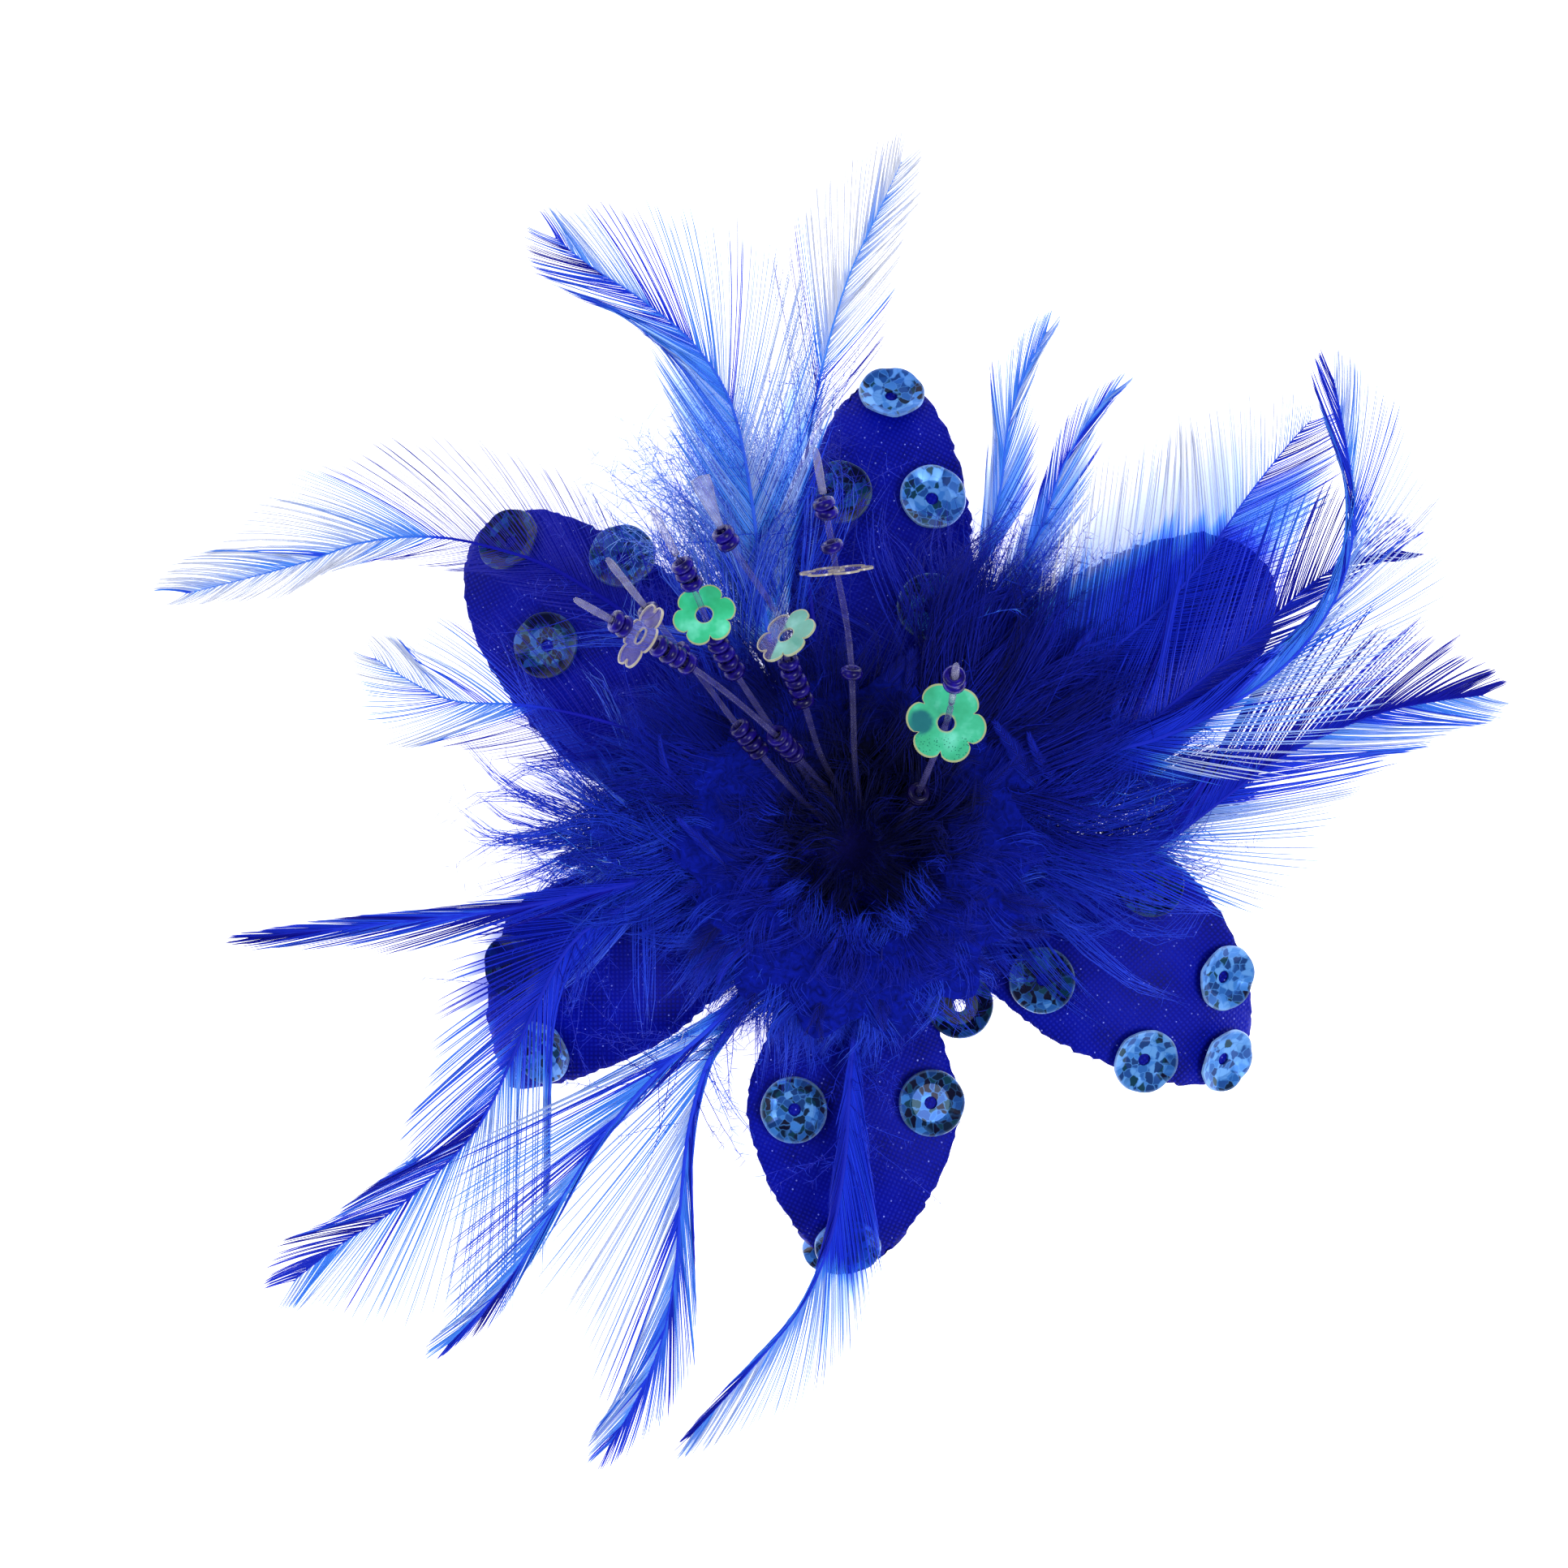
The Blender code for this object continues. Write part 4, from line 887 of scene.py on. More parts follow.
def make_cup(name, place, normal, light, seed):
    """A cup sequin: a six-sided floor with a hole, and six sloping facets to a round rim."""
    rng = np.random.default_rng(seed)
    facets, apothem, slope, radius = 6, 2.35, 0.62, 4.0
    turn = rng.uniform(0, math.tau)
    bm = bmesh.new()
    film = bm.loops.layers.uv.new("film")
    section = [bm.verts.new((r, 0, 0)) for r in (0.8, 1.6, apothem, 3.1, 3.75, radius)]
    edges = [bm.edges.new(pair) for pair in zip(section, section[1:])]
    bmesh.ops.spin(bm, geom=section + edges, cent=(0, 0, 0), axis=(0, 0, 1), angle=math.tau,
                   steps=8 * facets, use_merge=True)
    normals = [(math.cos(turn + i * math.tau / facets), math.sin(turn + i * math.tau / facets))
               for i in range(facets)]
    for vert in bm.verts:
        past = max(vert.co.x * x + vert.co.y * y for x, y in normals) - apothem
        vert.co.z = slope * max(past, 0.0)
    face_up(bm)
    for face in bm.faces:
        for loop in face.loops:
            loop[film].uv = (loop.vert.co.x + 20 * seed, loop.vert.co.y + 7 * seed)
    tone = bm.verts.layers.float.new("tone")
    rim = bm.verts.layers.float.new("rim")
    # Painted light: each facet is about as lit as the sequin, and one is painted in shade
    shades = np.clip(light + rng.normal(0, 0.14, facets + 1), 0, 1)
    shades[rng.integers(0, facets)] *= 0.55
    for vert in bm.verts:
        past = [vert.co.x * x + vert.co.y * y - apothem for x, y in normals]
        best = int(np.argmax(past))
        vert[tone] = shades[best] if past[best] > 0 else shades[-1]
        outside = math.hypot(vert.co.x, vert.co.y) > radius - 0.1
        vert[rim] = 0.6 * light + 0.04 if outside else 0.0    # painted highlight: lit sequins show a lighter edge
    return finish_sequin(name, bm, place, normal, sharp_angle=12)


class FASCINATOR_OT_cup_sequins(bpy.types.Operator):
    """Make the hologram cup sequins that are glued to the petals"""
    bl_idname = "fascinator.cup_sequins"
    bl_label = "Cup sequins"

    def execute(self, context):
        film = hologram_material()
        counts = {}
        rows = [(*row, CUP_LIFT) for row in CUP_SEQUINS]
        rows.append((*TIP_SEQUIN, -CUP_LIFT - CUP_DEPTH - TIP_SEQUIN_DROP))
        for seed, (petal_name, x, y, light, lift) in enumerate(rows):
            counts[petal_name] = counts.get(petal_name, 0) + 1
            node = petal_name.replace("petal", "sequin") + "_" + str(counts[petal_name])
            petal = next(petal for petal in PETALS if petal["name"] == petal_name)
            point, normal = petal_frame(petal, x, y)
            mesh = make_cup(node + "_film", point + normal * lift, normal, light, seed + 1)
            piece = link(node + "_film", mesh, [film])
            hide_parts(node)
        return {"FINISHED"}


def arch_height(x, y, level):
    """Height of a feather over a place in plan: all levels share one arch."""
    out = np.maximum(np.hypot(x, y) - ARCH_START, 0.0)
    spread = LEVEL_SPREAD * np.maximum(out + ARCH_START - LEVEL_SPREAD_START, 0.0)
    return (QUILL_HEIGHT + ARCH_SLOPE * out - ARCH_BEND * out * out
            + level * LEVEL_STEP * (smooth_step(out / LEVEL_REACH) + spread))


def vane_half_width(share, full, widest):
    """Half width of the vane: bare quill, a quick rise, then a long taper."""
    rise = smooth_step((share - VANE_START) / VANE_RISE)
    past = np.maximum(share - widest, 0.0) / (1 - widest)
    return full * rise * (1 - past) ** 0.7


def over_dark(places):
    """How far places in plan lie over the petals or the ruff, from 0 to 1."""
    x, y = places[..., 0], places[..., 1]
    over = smooth_step((RUFF_REACH - np.hypot(x, y)) / RUFF_EDGE)
    for petal in PETALS:
        turn = math.radians(petal["direction"])
        along = x * math.cos(turn) + y * math.sin(turn)
        closing = np.clip((along - PETAL_WIDEST) / (petal["length"] - PETAL_WIDEST), 0, 1)
        across = y * math.cos(turn) - x * math.sin(turn) - petal["lean"] * closing ** 2
        marks = np.linspace(PETAL_ROOT, petal["length"], 50)
        for side in (1, -1):
            halves = [petal_half_width(petal, mark, side) for mark in marks]
            room = np.interp(along, marks, halves, left=0.0, right=0.0) - np.abs(across)
            inside = smooth_step(room / PETAL_EDGE + 0.3)
            over = np.maximum(over, np.where(across * side >= 0, inside, 0.0))
    return over


def painted_backlight_share(places, left=SHOWN_OVER_DARK):
    """What is left of a strand's tone at places in plan: painted shade over dark cloth or down, where no
    backlight shines through.
    """
    return 1 - (1 - left) * over_dark(places)


def past_petal(feather, share):
    """How far shares of a quill are out from behind a petal, from 0 to 1."""
    return smooth_step((share - DARK_SHARES.get(feather["name"], 0.0)) / DARK_SHARE_FADE)


def keep_in_order(paths, side, gap):
    """Move barbs so that none crosses its neighbour nearer the tip, and they bundle instead."""
    for number in range(len(paths) - 2, -1, -1):
        ahead = paths[number + 1, :, :2]
        barb = unit(np.gradient(ahead, axis=0))
        tipward = np.stack((barb[:, 1], -barb[:, 0]), axis=-1) * side
        room = np.sum((ahead - paths[number, :, :2]) * tipward, axis=1)
        paths[number, :, :2] -= tipward * np.maximum(gap[number] - room, 0.0)[:, None]
    return paths


def barb_lines(feather, vane, route, side, rng, rings=7):
    """The barbs of one vane: paths (barb, ring, xyz), shares out along the quill, and locks."""
    length = route_length(route)
    first = BARE_SHARES.get(feather["name"], VANE_START + 0.01)
    count = int(length * (BARBS_END - first) / vane["spacing"])
    share = np.linspace(first, BARBS_END, count) + rng.normal(0, 0.25, count) * vane["spacing"] / length
    share = np.clip(share, VANE_START, QUILL_END)
    base, forward = along_route(route, share)
    across = np.stack((-forward[:, 1], forward[:, 0], np.zeros(count)), axis=-1) * side
    start = np.radians(vane["angle"] * (1.12 - 0.4 * share))
    end = start - np.radians(vane["bend"]) * (0.4 + share)
    widest = LATE_WIDEST.get(feather["name"], VANE_WIDEST)
    width = vane_half_width(share, vane["width"], widest) * rng.uniform(0.88, 1.06, count)
    left = (1 - share) * length
    middle = np.maximum((start + end) / 2, 0.08)
    longest = (0.5 + 0.45 * share) * left * rng.uniform(0.85, 1.05, count) + TIP_OVERHANG
    reach = np.minimum(width / np.sin(middle), longest)
    reach = np.maximum(reach, LEAST_BARB) * sizes().barb_share
    steps = np.linspace(0, 1, rings)
    angle = start[:, None] + (end - start)[:, None] * steps[None]
    angle += rng.normal(0, math.radians(0.9), (count, 1))
    ahead = np.cumsum(np.cos(angle), axis=1) - np.cos(angle[:, :1])
    aside = np.cumsum(np.sin(angle), axis=1) - np.sin(angle[:, :1])
    scale = (reach / (rings - 1))[:, None, None]
    paths = base[:, None] + (forward[:, None] * ahead[..., None]
                             + across[:, None] * aside[..., None]) * scale

    # Barbs cling in locks: each leans to the lock's leader as it goes out
    lock = np.cumsum(rng.random(count) < vane["spacing"] / rng.uniform(*LOCK_WIDTHS, count))
    members = [np.flatnonzero(lock == value) for value in lock]
    leader = np.array([barbs[len(barbs) // 2] for barbs in members])
    pull = vane["cling"] * rng.uniform(0.55, 1.0, count)[:, None, None] * steps[None, :, None] ** 1.4
    paths = paths + (paths[leader] - paths) * pull
    paths = keep_in_order(paths, side, BARB_GAP * vane["spacing"] * np.sin(middle)[:, None] * steps)
    paths[:, :, 2] = arch_height(paths[:, :, 0], paths[:, :, 1], feather["level"])
    paths[:, :, 2] += rng.normal(0, BARB_STRAY, (count, 1)) * steps + BARB_LOFT * steps * (1 - steps)
    return paths, share, lock


def wave_lines(starts, directions, reach, rng, rings, waviness):
    """Wandering strands from starting points along directions."""
    drift = np.cumsum(rng.normal(0, waviness, (len(starts), rings, 3)), axis=1)
    drift -= drift[:, :1]
    heading = unit(directions)[:, None] + drift
    stride = (reach / (rings - 1))[:, None, None]
    walk = np.cumsum(heading * stride, axis=1)
    return starts[:, None] + walk - walk[:, :1]


def barbule_lines(paths, rng, per_strand, reach, rings=3):
    """Short side hairs along downy strands."""
    count, k, _ = paths.shape
    spot = rng.uniform(0.05, 0.97, (count, per_strand)) * (k - 1)
    low = np.minimum(spot.astype(int), k - 2)
    part = (spot - low)[..., None]
    row = np.arange(count)[:, None]
    starts = between(paths, row, low, part).reshape(-1, 3)
    forward = unit(paths[row, low + 1] - paths[row, low]).reshape(-1, 3)
    out = unit(np.cross(forward, rng.normal(0, 1, (len(starts), 3))))
    heading = unit(forward * 0.55 + out)
    lengths = reach * rng.uniform(0.5, 1.2, len(starts))
    return wave_lines(starts, heading, lengths, rng, rings, waviness=0.25)


def add_web(strands, vane, paths, share, lock, tone, side, rng):
    """The closed part of a vane: a thin sheet through the barbs of each lock."""
    steps = np.linspace(0, 1, paths.shape[1])[None, :, None]
    sheets = paths[:, :-1] - (0, 0, 0.05)
    shades = np.clip(tone[:, :-1] + rng.normal(0.02, 0.02, (len(paths), 1)), 0, 1)
    outer = smooth_step((WEB_END - steps[:, :-1, 0]) / WEB_FADE)
    covers = (rng.uniform(0.8, 1.0, (len(paths), 1)) * outer
              * smooth_step((vane["web"] - share) / 0.14 + 0.1)[:, None])
    for number in range(lock.max() + 1):
        barbs = np.flatnonzero((lock == number) & (share < vane["web"]))
        if not len(barbs):
            continue
        after = min(barbs[-1] + 1, len(paths) - 1)
        open_up = min(2.5 * vane["cling"], 1.0) * steps[:, :-1] ** 1.5
        joined = sheets[barbs[-1]] + (sheets[after] - sheets[barbs[-1]]) * (1 - open_up[0])
        grid = np.concatenate((sheets[barbs], joined[None]))
        shade = np.concatenate((shades[barbs], shades[barbs[-1:]]))
        cover = np.concatenate((covers[barbs], covers[barbs[-1:]]))
        order = slice(None, None, -side)
        strands.add_sheets(grid[order][None], shade[order][None], cover[order][None])


def vane_tones(feather, vane, paths, share, lock, rng):
    """Tones of one vane's barbs: they vary by barb and by lock, and deepen at the tip."""
    count, rings, _ = paths.shape
    steps = np.linspace(0, 1, rings)[None]
    locks = lock.max() + 1
    mood = np.minimum(rng.normal(0, LOCK_MOOD, locks), LOCK_LIGHTEST)
    mood = mood - DARK_LOCK_DROP * (rng.random(locks) < DARK_LOCKS * (vane["tone"] < PALE_VANE))
    webbed = smooth_step((vane["web"] - share) / 0.1)[:, None] * smooth_step((WEB_END - steps) / WEB_FADE)
    pale = smooth_step((vane["tone"] - 0.85) / 0.1)
    tone = (vane["tone"] + rng.normal(0, 0.03, count))[:, None] + (0.10 + 0.25 * pale) * (steps - 0.5)
    tone = tone + mood[lock][:, None] * (1 - 0.7 * webbed)
    if vane["tone"] < 0.8:
        tone = tone - TIP_DEEPENS * smooth_step((share - 0.68) / 0.2)[:, None]
    # Painted shade: barbs are near black where the quill lies under a petal
    tone = np.clip(tone, 0, 1) * (0.05 + 0.95 * past_petal(feather, share)[:, None])
    # Painted shade over dark cloth or down, where no backlight shines through the barbs
    return tone * painted_backlight_share(paths)


def add_downy_barbs(strands, lifted, count, rng):
    """Add the downy barbs, which make the root of a hackle soft."""
    share = rng.uniform(0.10, 0.42, count)
    base, forward = along_route(lifted, share)
    side = rng.choice((-1, 1), count)[:, None]
    across = np.stack((-forward[:, 1], forward[:, 0], np.zeros(count)), axis=-1) * side
    heading = forward * rng.uniform(0.5, 1.2, (count, 1)) + across + rng.normal(0, 0.35, (count, 3))
    reach = rng.uniform(6, 15, count)
    down = wave_lines(base, heading, reach, rng, rings=9, waviness=0.10)
    tone = np.clip(rng.normal(0.3, 0.15, (count, 1)), 0, 1)
    # Painted shade over dark cloth or down, as on the barbs
    strands.add(down, np.linspace(0.07, 0.03, 9), tone * painted_backlight_share(down))
    hairs = barbule_lines(down, rng, per_strand=16, reach=1.7)
    tone = np.clip(rng.normal(0.45, 0.2, (len(hairs), 1)), 0, 1)
    strands.add(hairs, SIDE_HAIR, tone * painted_backlight_share(hairs))


def make_feather(feather, materials, seed):
    """A hackle: its quill, barbs on both sides in locks, and downy barbs at the root."""
    rng = np.random.default_rng(seed)
    flat = [(x, y, 0.0) for x, y in feather["route"]]
    route = smooth_route(flat)
    lifted = route.copy()
    lifted[:, 2] = arch_height(route[:, 0], route[:, 1], feather["level"])
    strands = Strands()
    stations = np.linspace(0, QUILL_END, 40)
    quill, _ = along_route(lifted, stations)
    quill_radius = sizes().rachis_radius / MM * np.linspace(1.0, 0.22, 40) ** 1.3
    quill_tone = 0.6 * min(feather["left"]["tone"], feather["right"]["tone"])
    # Painted shade on the quill: near black under a petal, and darker over dark cloth or down
    out = past_petal(feather, stations) * painted_backlight_share(quill)
    strands.add(quill[None], quill_radius[None], (quill_tone * out)[None], sides=6, flatten=0.8)
    for side, vane in ((1, feather["left"]), (-1, feather["right"])):
        paths, share, lock = barb_lines(feather, vane, route, side, rng)
        steps = np.linspace(0, 1, paths.shape[1])[None]
        radius = feather["barb"] / 2 * (1.15 - 0.3 * share)[:, None] * (1 - 0.45 * steps)
        tone = vane_tones(feather, vane, paths, share, lock, rng)
        strands.add(paths, radius * (0.4 + 0.6 * past_petal(feather, share)[:, None]), tone)
        if vane["web"]:
            add_web(strands, vane, paths, share, lock, tone, side, rng)
    add_downy_barbs(strands, lifted, feather["down"], rng)
    name = feather["name"].replace("feather", "hackle")
    piece = link(name, strands.mesh(name, soft=0.6), materials)
    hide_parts(feather["name"])


class FASCINATOR_OT_feathers(bpy.types.Operator):
    """Make the fifteen hackle feathers, barb by barb"""
    bl_idname = "fascinator.feathers"
    bl_label = "Hackle feathers"

    def execute(self, context):
        c = colours()
        faces = (c.hackle_deep, "#1a38dc", c.hackle_light, "#d8dcea")
        clear = ("#3838b8", "#5c80ee", "#a6ccfc", "#e2eafc")
        materials = [dyed_hair("dyed_hackle_barb", faces),
                     dyed_web("dyed_hackle_web", faces, clear, open_share=0.8)]
        for number, feather in enumerate(FEATHERS):
            make_feather(feather, materials, 100 + number)
        return {"FINISHED"}


# Wisps of down, as pointed locks: direction and its spread (degrees; 180 is all round),
# radius of the root and of the point, half width, height of the root and of the point,
# tone, and how many
# The inner rows' low tones are painted shade deep in the ruff's middle
RUFF_WISPS = (
    (90, 180, 6.5, 2.0, 1.3, 9.8, 13.0, 0.05, 40),
    (90, 180, 6.5, 13.0, 1.3, 11.0, 20.0, 0.08, 70),
    (110, 180, 3.0, 15.0, 2.2, 13.0, 19.0, 0.08, 36),
    (90, 180, 9.0, 20.0, 1.5, 16.0, 22.0, 0.32, 130),
    (90, 180, 14.0, 26.0, 1.6, 18.0, 17.0, 0.5, 116),
    (90, 180, 17.0, 28.0, 1.6, 14.0, 12.0, 0.46, 78),
    (265, 42, 15.0, 6.5, 1.6, 16.5, 20.5, 0.42, 40),
    (165, 8, 20.0, 38.0, 2.2, 14.5, 15.5, 0.42, 30),
    (61, 7, 26.0, 45.0, 2.0, 14.0, 16.5, 0.34, 24),
)
LOOSE_WISPS = (
    (172, 9, 17.0, 37.0, 1.8, 15.0, 17.0, 0.5, 44),
    (176, 4, 22.0, 38.0, 2.2, 13.0, 14.0, 0.5, 30),
    (172, 7, 28.0, 53.0, 1.2, 14.0, 14.0, 0.6, 26),
    (184, 4, 25.0, 44.0, 1.6, 12.5, 13.0, 0.7, 16),
    (60, 7, 25.0, 45.0, 2.2, 14.0, 17.0, 0.34, 34),
    (183, 6, 20.0, 44.0, 1.0, 14.0, 16.5, 0.6, 14),
    (150, 10, 15.0, 37.0, 1.8, 16.0, 16.5, 0.34, 44),
    (208, 14, 15.0, 33.0, 1.8, 15.0, 14.0, 0.5, 34),
    (238, 9, 14.0, 30.0, 1.4, 16.0, 13.0, 0.55, 30),
    (268, 13, 13.0, 28.0, 1.3, 17.0, 16.0, 0.55, 46),
    (300, 8, 12.0, 20.0, 1.2, 17.0, 15.0, 0.5, 20),
    (328, 10, 13.0, 22.0, 1.6, 16.0, 14.0, 0.5, 24),
    (354, 6, 16.0, 38.0, 2.0, 13.0, 11.5, 0.5, 30),
    (10, 8, 18.0, 46.0, 2.2, 15.0, 17.0, 0.52, 44),
    (12, 4, 26.0, 48.0, 2.4, 13.0, 14.0, 0.5, 30),
    (24, 8, 16.0, 40.0, 2.0, 16.0, 18.0, 0.42, 36),
    (42, 9, 16.0, 47.0, 1.7, 16.0, 19.0, 0.38, 52),
    (55, 6, 18.0, 46.0, 1.6, 15.0, 19.0, 0.38, 44),
    (112, 12, 14.0, 34.0, 1.5, 16.0, 19.0, 0.34, 40),
    (116, 6, 26.0, 50.0, 1.7, 15.0, 20.0, 0.74, 40),
)
# Small pointed hackle tips that stand up in the ruff: root, point, half width and tone
LEAVES = (
    ((24.0, 4.5, 17.5), (16.0, 16.0, 23.0), 1.7, 0.38),
    ((27.0, 6.0, 17.5), (20.5, 14.5, 22.5), 1.2, 0.35),
    ((27.5, 9.5, 17.5), (26.0, 19.0, 22.0), 0.9, 0.35),
    ((28.0, 14.0, 18.0), (26.5, 24.5, 22.0), 1.3, 0.36),
    ((31.5, 9.0, 18.0), (31.5, 20.0, 22.5), 1.2, 0.38),
    ((24.0, 18.0, 18.0), (29.0, 27.0, 22.0), 1.2, 0.36),
    ((-20.0, 7.0, 18.0), (-24.0, 14.5, 22.0), 0.9, 0.36),
    ((-15.0, -3.0, 20.0), (-22.0, 4.0, 23.0), 0.9, 0.36),
    ((-2.0, -9.0, 21.0), (-6.5, -16.5, 22.5), 0.8, 0.36),
    ((8.0, -8.0, 20.5), (13.0, -15.0, 20.0), 0.8, 0.36),
    ((-12.0, -10.0, 20.0), (-17.0, -16.5, 20.0), 0.9, 0.36),
    ((3.0, -12.0, 20.0), (4.5, -21.0, 19.5), 0.8, 0.36),
    ((-18.0, 0.5, 17.0), (-37.0, -1.5, 17.0), 3.0, 0.45),
    ((-18.0, 1.5, 17.5), (-33.0, 2.5, 17.5), 3.0, 0.5),
    ((30.0, 4.0, 16.5), (50.0, 12.0, 17.0), 4.5, 0.38),
    ((28.0, 7.0, 16.5), (47.0, 9.0, 16.5), 4.5, 0.38),
    ((30.0, 2.0, 16.0), (48.0, 7.5, 16.5), 4.5, 0.38),
)
# Fluff of single strands with side hairs: direction, start and end radius, spread, height
# of the ends, how many strands, their tone, and how far they lean (degrees)
TUFTS = (
    (112, 31, 60, 5, 22, 170, 0.84, 14),
    (102, 30, 61, 4, 24, 170, 0.66, 0),
    (59, 26, 48, 4, 21, 110, 0.5, 2),
    (45, 28, 53, 8, 21, 110, 0.5, 0),
    (172, 20, 38, 10, 18, 30, 0.66, 0),
)
TUFT_FOOT = 15.0               # height at which tufts start
LEAF_TIPS = 30                 # free hackle tips that show as small pointed leaves in the ruff
BROAD_LEAF = 2.0               # half width over which a placed tip has more and thicker barbs
LEAF_HAIR = (1.0, 1.0, 0.7, 0.0)    # how a tip's barb thins out, as shares of its radius


def wisp_paths(row, rng, rings=6):
    """The middle lines of one row of wisps, their half widths and tones."""
    direction, spread, near, far, half, low, high, tone, count = row
    if spread == 180:
        root_turn = np.arange(count) / count * math.tau + rng.normal(0, 0.1, count)
    else:
        root_turn = np.radians(rng.normal(direction, spread, count))
    root = polar(near + rng.normal(0, 0.9, count), root_turn, low + rng.normal(0, 0.5, count))
    end_turn = root_turn + rng.normal(0, 0.24, count)
    end = polar(near + (far - near) * rng.uniform(0.55, 1.08, count), end_turn,
                high + rng.normal(0, 0.8, count))
    reach = np.linalg.norm(end - root, axis=1)[:, None]
    sway = np.stack((-np.sin(root_turn), np.cos(root_turn), np.zeros(count)), axis=-1)
    loose = 0.13 if spread < 90 else 0.26
    bend = (sway * rng.normal(0, loose, (count, 1)) * reach
            + (0, 0, 1) * rng.uniform(0.05, 0.2, (count, 1)) * reach)
    steps = np.linspace(0, 1, rings)[None, :, None]
    paths = (root[:, None] * (1 - steps) + end[:, None] * steps
             + bend[:, None] * 4 * steps * (1 - steps) * (0.6 + steps))
    tones = np.clip(tone + rng.normal(0, 0.06, count), 0, 1)
    # Painted shade: wisps rooted near the ruff's middle are darker
    shade = np.linalg.norm(root[:, :2] - np.array(DARK_MIDDLE), axis=1) / DARK_REACH
    return paths, half * rng.uniform(0.6, 1.25, count), tones * smooth_step(shade)


def leaf_paths(rng, rings=10):
    """The quills of the ruff's hackle tips, their half widths and tones."""
    steps = np.linspace(0, 1, rings)[None, :, None]
    root, end = (np.array([row[i] for row in LEAVES])[:, None] for i in (0, 1))
    paths = root * (1 - steps) + end * steps + rng.normal(0, 0.8, root.shape) * 4 * steps * (1 - steps)
    return paths, np.array([row[2] for row in LEAVES]), np.array([row[3] for row in LEAVES])


def add_wisps(strands, lines, rng, hairs=15, fuzz_hairs=5):
    """Add pointed locks of down, each of many fine hairs that cling to a middle line."""
    paths, half, tones = lines
    count, rings, _ = paths.shape
    forward = unit(np.gradient(paths, axis=1))
    side = unit(np.cross(np.array((0.0, 0.0, 1.0)), forward) + rng.normal(0, 0.15, (count, 1, 3)))
    above = np.cross(forward, side)
    steps = np.linspace(0, 1, rings)
    width = half[:, None] * (1 - steps) ** 0.8 * (0.5 + 1.3 * steps) + 0.04
    lane = rng.uniform(-1, 1, (count, hairs))
    first = rng.uniform(0.0, 0.35, (count, hairs))
    last = rng.uniform(0.65, 1.0, (count, hairs))
    marks = np.linspace(0, 1, 4)
    place = (first[..., None] * (1 - marks) + last[..., None] * marks) * (rings - 1)
    low = np.minimum(place.astype(int), rings - 2)
    part = (place - low)[..., None]
    row = np.arange(count)[:, None, None]
    stray = lane[..., None] * (1 + 0.7 * rng.random((count, hairs, 1)) * marks)
    half_there = between(width[..., None], row, low, part)[..., 0]
    reach = half_there * stray + rng.normal(0, 0.45, (count, hairs, 1)) * marks ** 2
    hair = between(paths, row, low, part) + between(side, row, low, part) * reach[..., None]
    hair += between(above, row, low, part) * (rng.normal(0, 0.25, (count, hairs, 1, 1))
                                              - 0.4 * lane[..., None, None] ** 2)
    tone = tones[:, None, None] + rng.normal(0, 0.06, (count, hairs, 1)) + 0.14 * (marks - 0.5)
    strands.add(hair.reshape(-1, 4, 3), WISP_HAIR, np.clip(tone, 0, 1).reshape(-1, 4))
    fuzz = barbule_lines(paths, rng, fuzz_hairs, 2.4)
    strands.add(fuzz, SIDE_HAIR, np.repeat(tones, fuzz_hairs)[:, None])


def ruff_body(name):
    """The dense heart of the ruff: the solid's own section with its locks, drawn in."""
    bm = bmesh.new()
    section = [bm.verts.new((radius, 0, height)) for radius, height, _ in RUFF_SECTION]
    edges = [bm.edges.new(pair) for pair in zip(section, section[1:] + section[:1])]
    bmesh.ops.spin(bm, geom=section + edges, cent=(0, 0, 0), axis=(0, 0, 1),
                   angle=math.tau, steps=8 * RUFF_LOCKS, use_merge=True)
    tone = bm.verts.layers.float.new("tone")
    for vert in bm.verts:
        angle = math.atan2(vert.co.y, vert.co.x)
        reach = min(RUFF_SECTION, key=lambda row: abs(row[1] - vert.co.z))[2]
        radius = math.hypot(vert.co.x, vert.co.y)
        push = (reach * (0.5 + 0.5 * math.cos(angle * RUFF_LOCKS) + 0.2 * math.sin(3 * angle))
                - RUFF_DRAWN_IN * (radius - RUFF_FROM))
        vert.co.x *= (radius + push) / radius
        vert.co.y *= (radius + push) / radius
        vert.co.z -= RUFF_LOWERED * max(vert.co.z - RUFF_LOWERED_FROM, 0)
        # Painted shade: the heart darkens toward the ruff's middle
        vert[tone] = ease(math.hypot(vert.co.x - DARK_MIDDLE[0], vert.co.y - DARK_MIDDLE[1]) / DARK_REACH)
    return finish_mesh(name, bm)


def shaded_marabou():
    """The dark heart of the ruff: matt packed down in clumps about 1 mm apart, with painted shade that
    deepens toward the middle.
    """
    material = new_material("packed_marabou_and_shade")
    place = add_node(material, "ShaderNodeTexCoord").outputs["Object"]
    fluff = add_node(material, "ShaderNodeTexNoise", Vector=place, Scale=900.0, Detail=6.0, Distortion=1.2)
    painted_light = add_node(material, "ShaderNodeAttribute", {"attribute_name": "tone"}).outputs["Fac"]
    lit = add_node(material, "ShaderNodeMath", {"operation": "MULTIPLY"}, n0=fluff.outputs["Fac"], n1=painted_light)
    shade = add_node(material, "ShaderNodeValToRGB", {"stops": ((0.1, "#020318"), (0.7, "#0c1ca4"))},
                     Fac=lit.outputs[0]).outputs[0]
    nap = add_node(material, "ShaderNodeBump", Height=fluff.outputs["Fac"], Strength=0.8, Distance=0.0006)
    shader = add_node(material, "ShaderNodeBsdfPrincipled", Base_Color=shade, Roughness=0.9,
                      Specular_IOR_Level=0.05, Normal=nap.outputs[0])
    return put_out(material, shader.outputs[0])


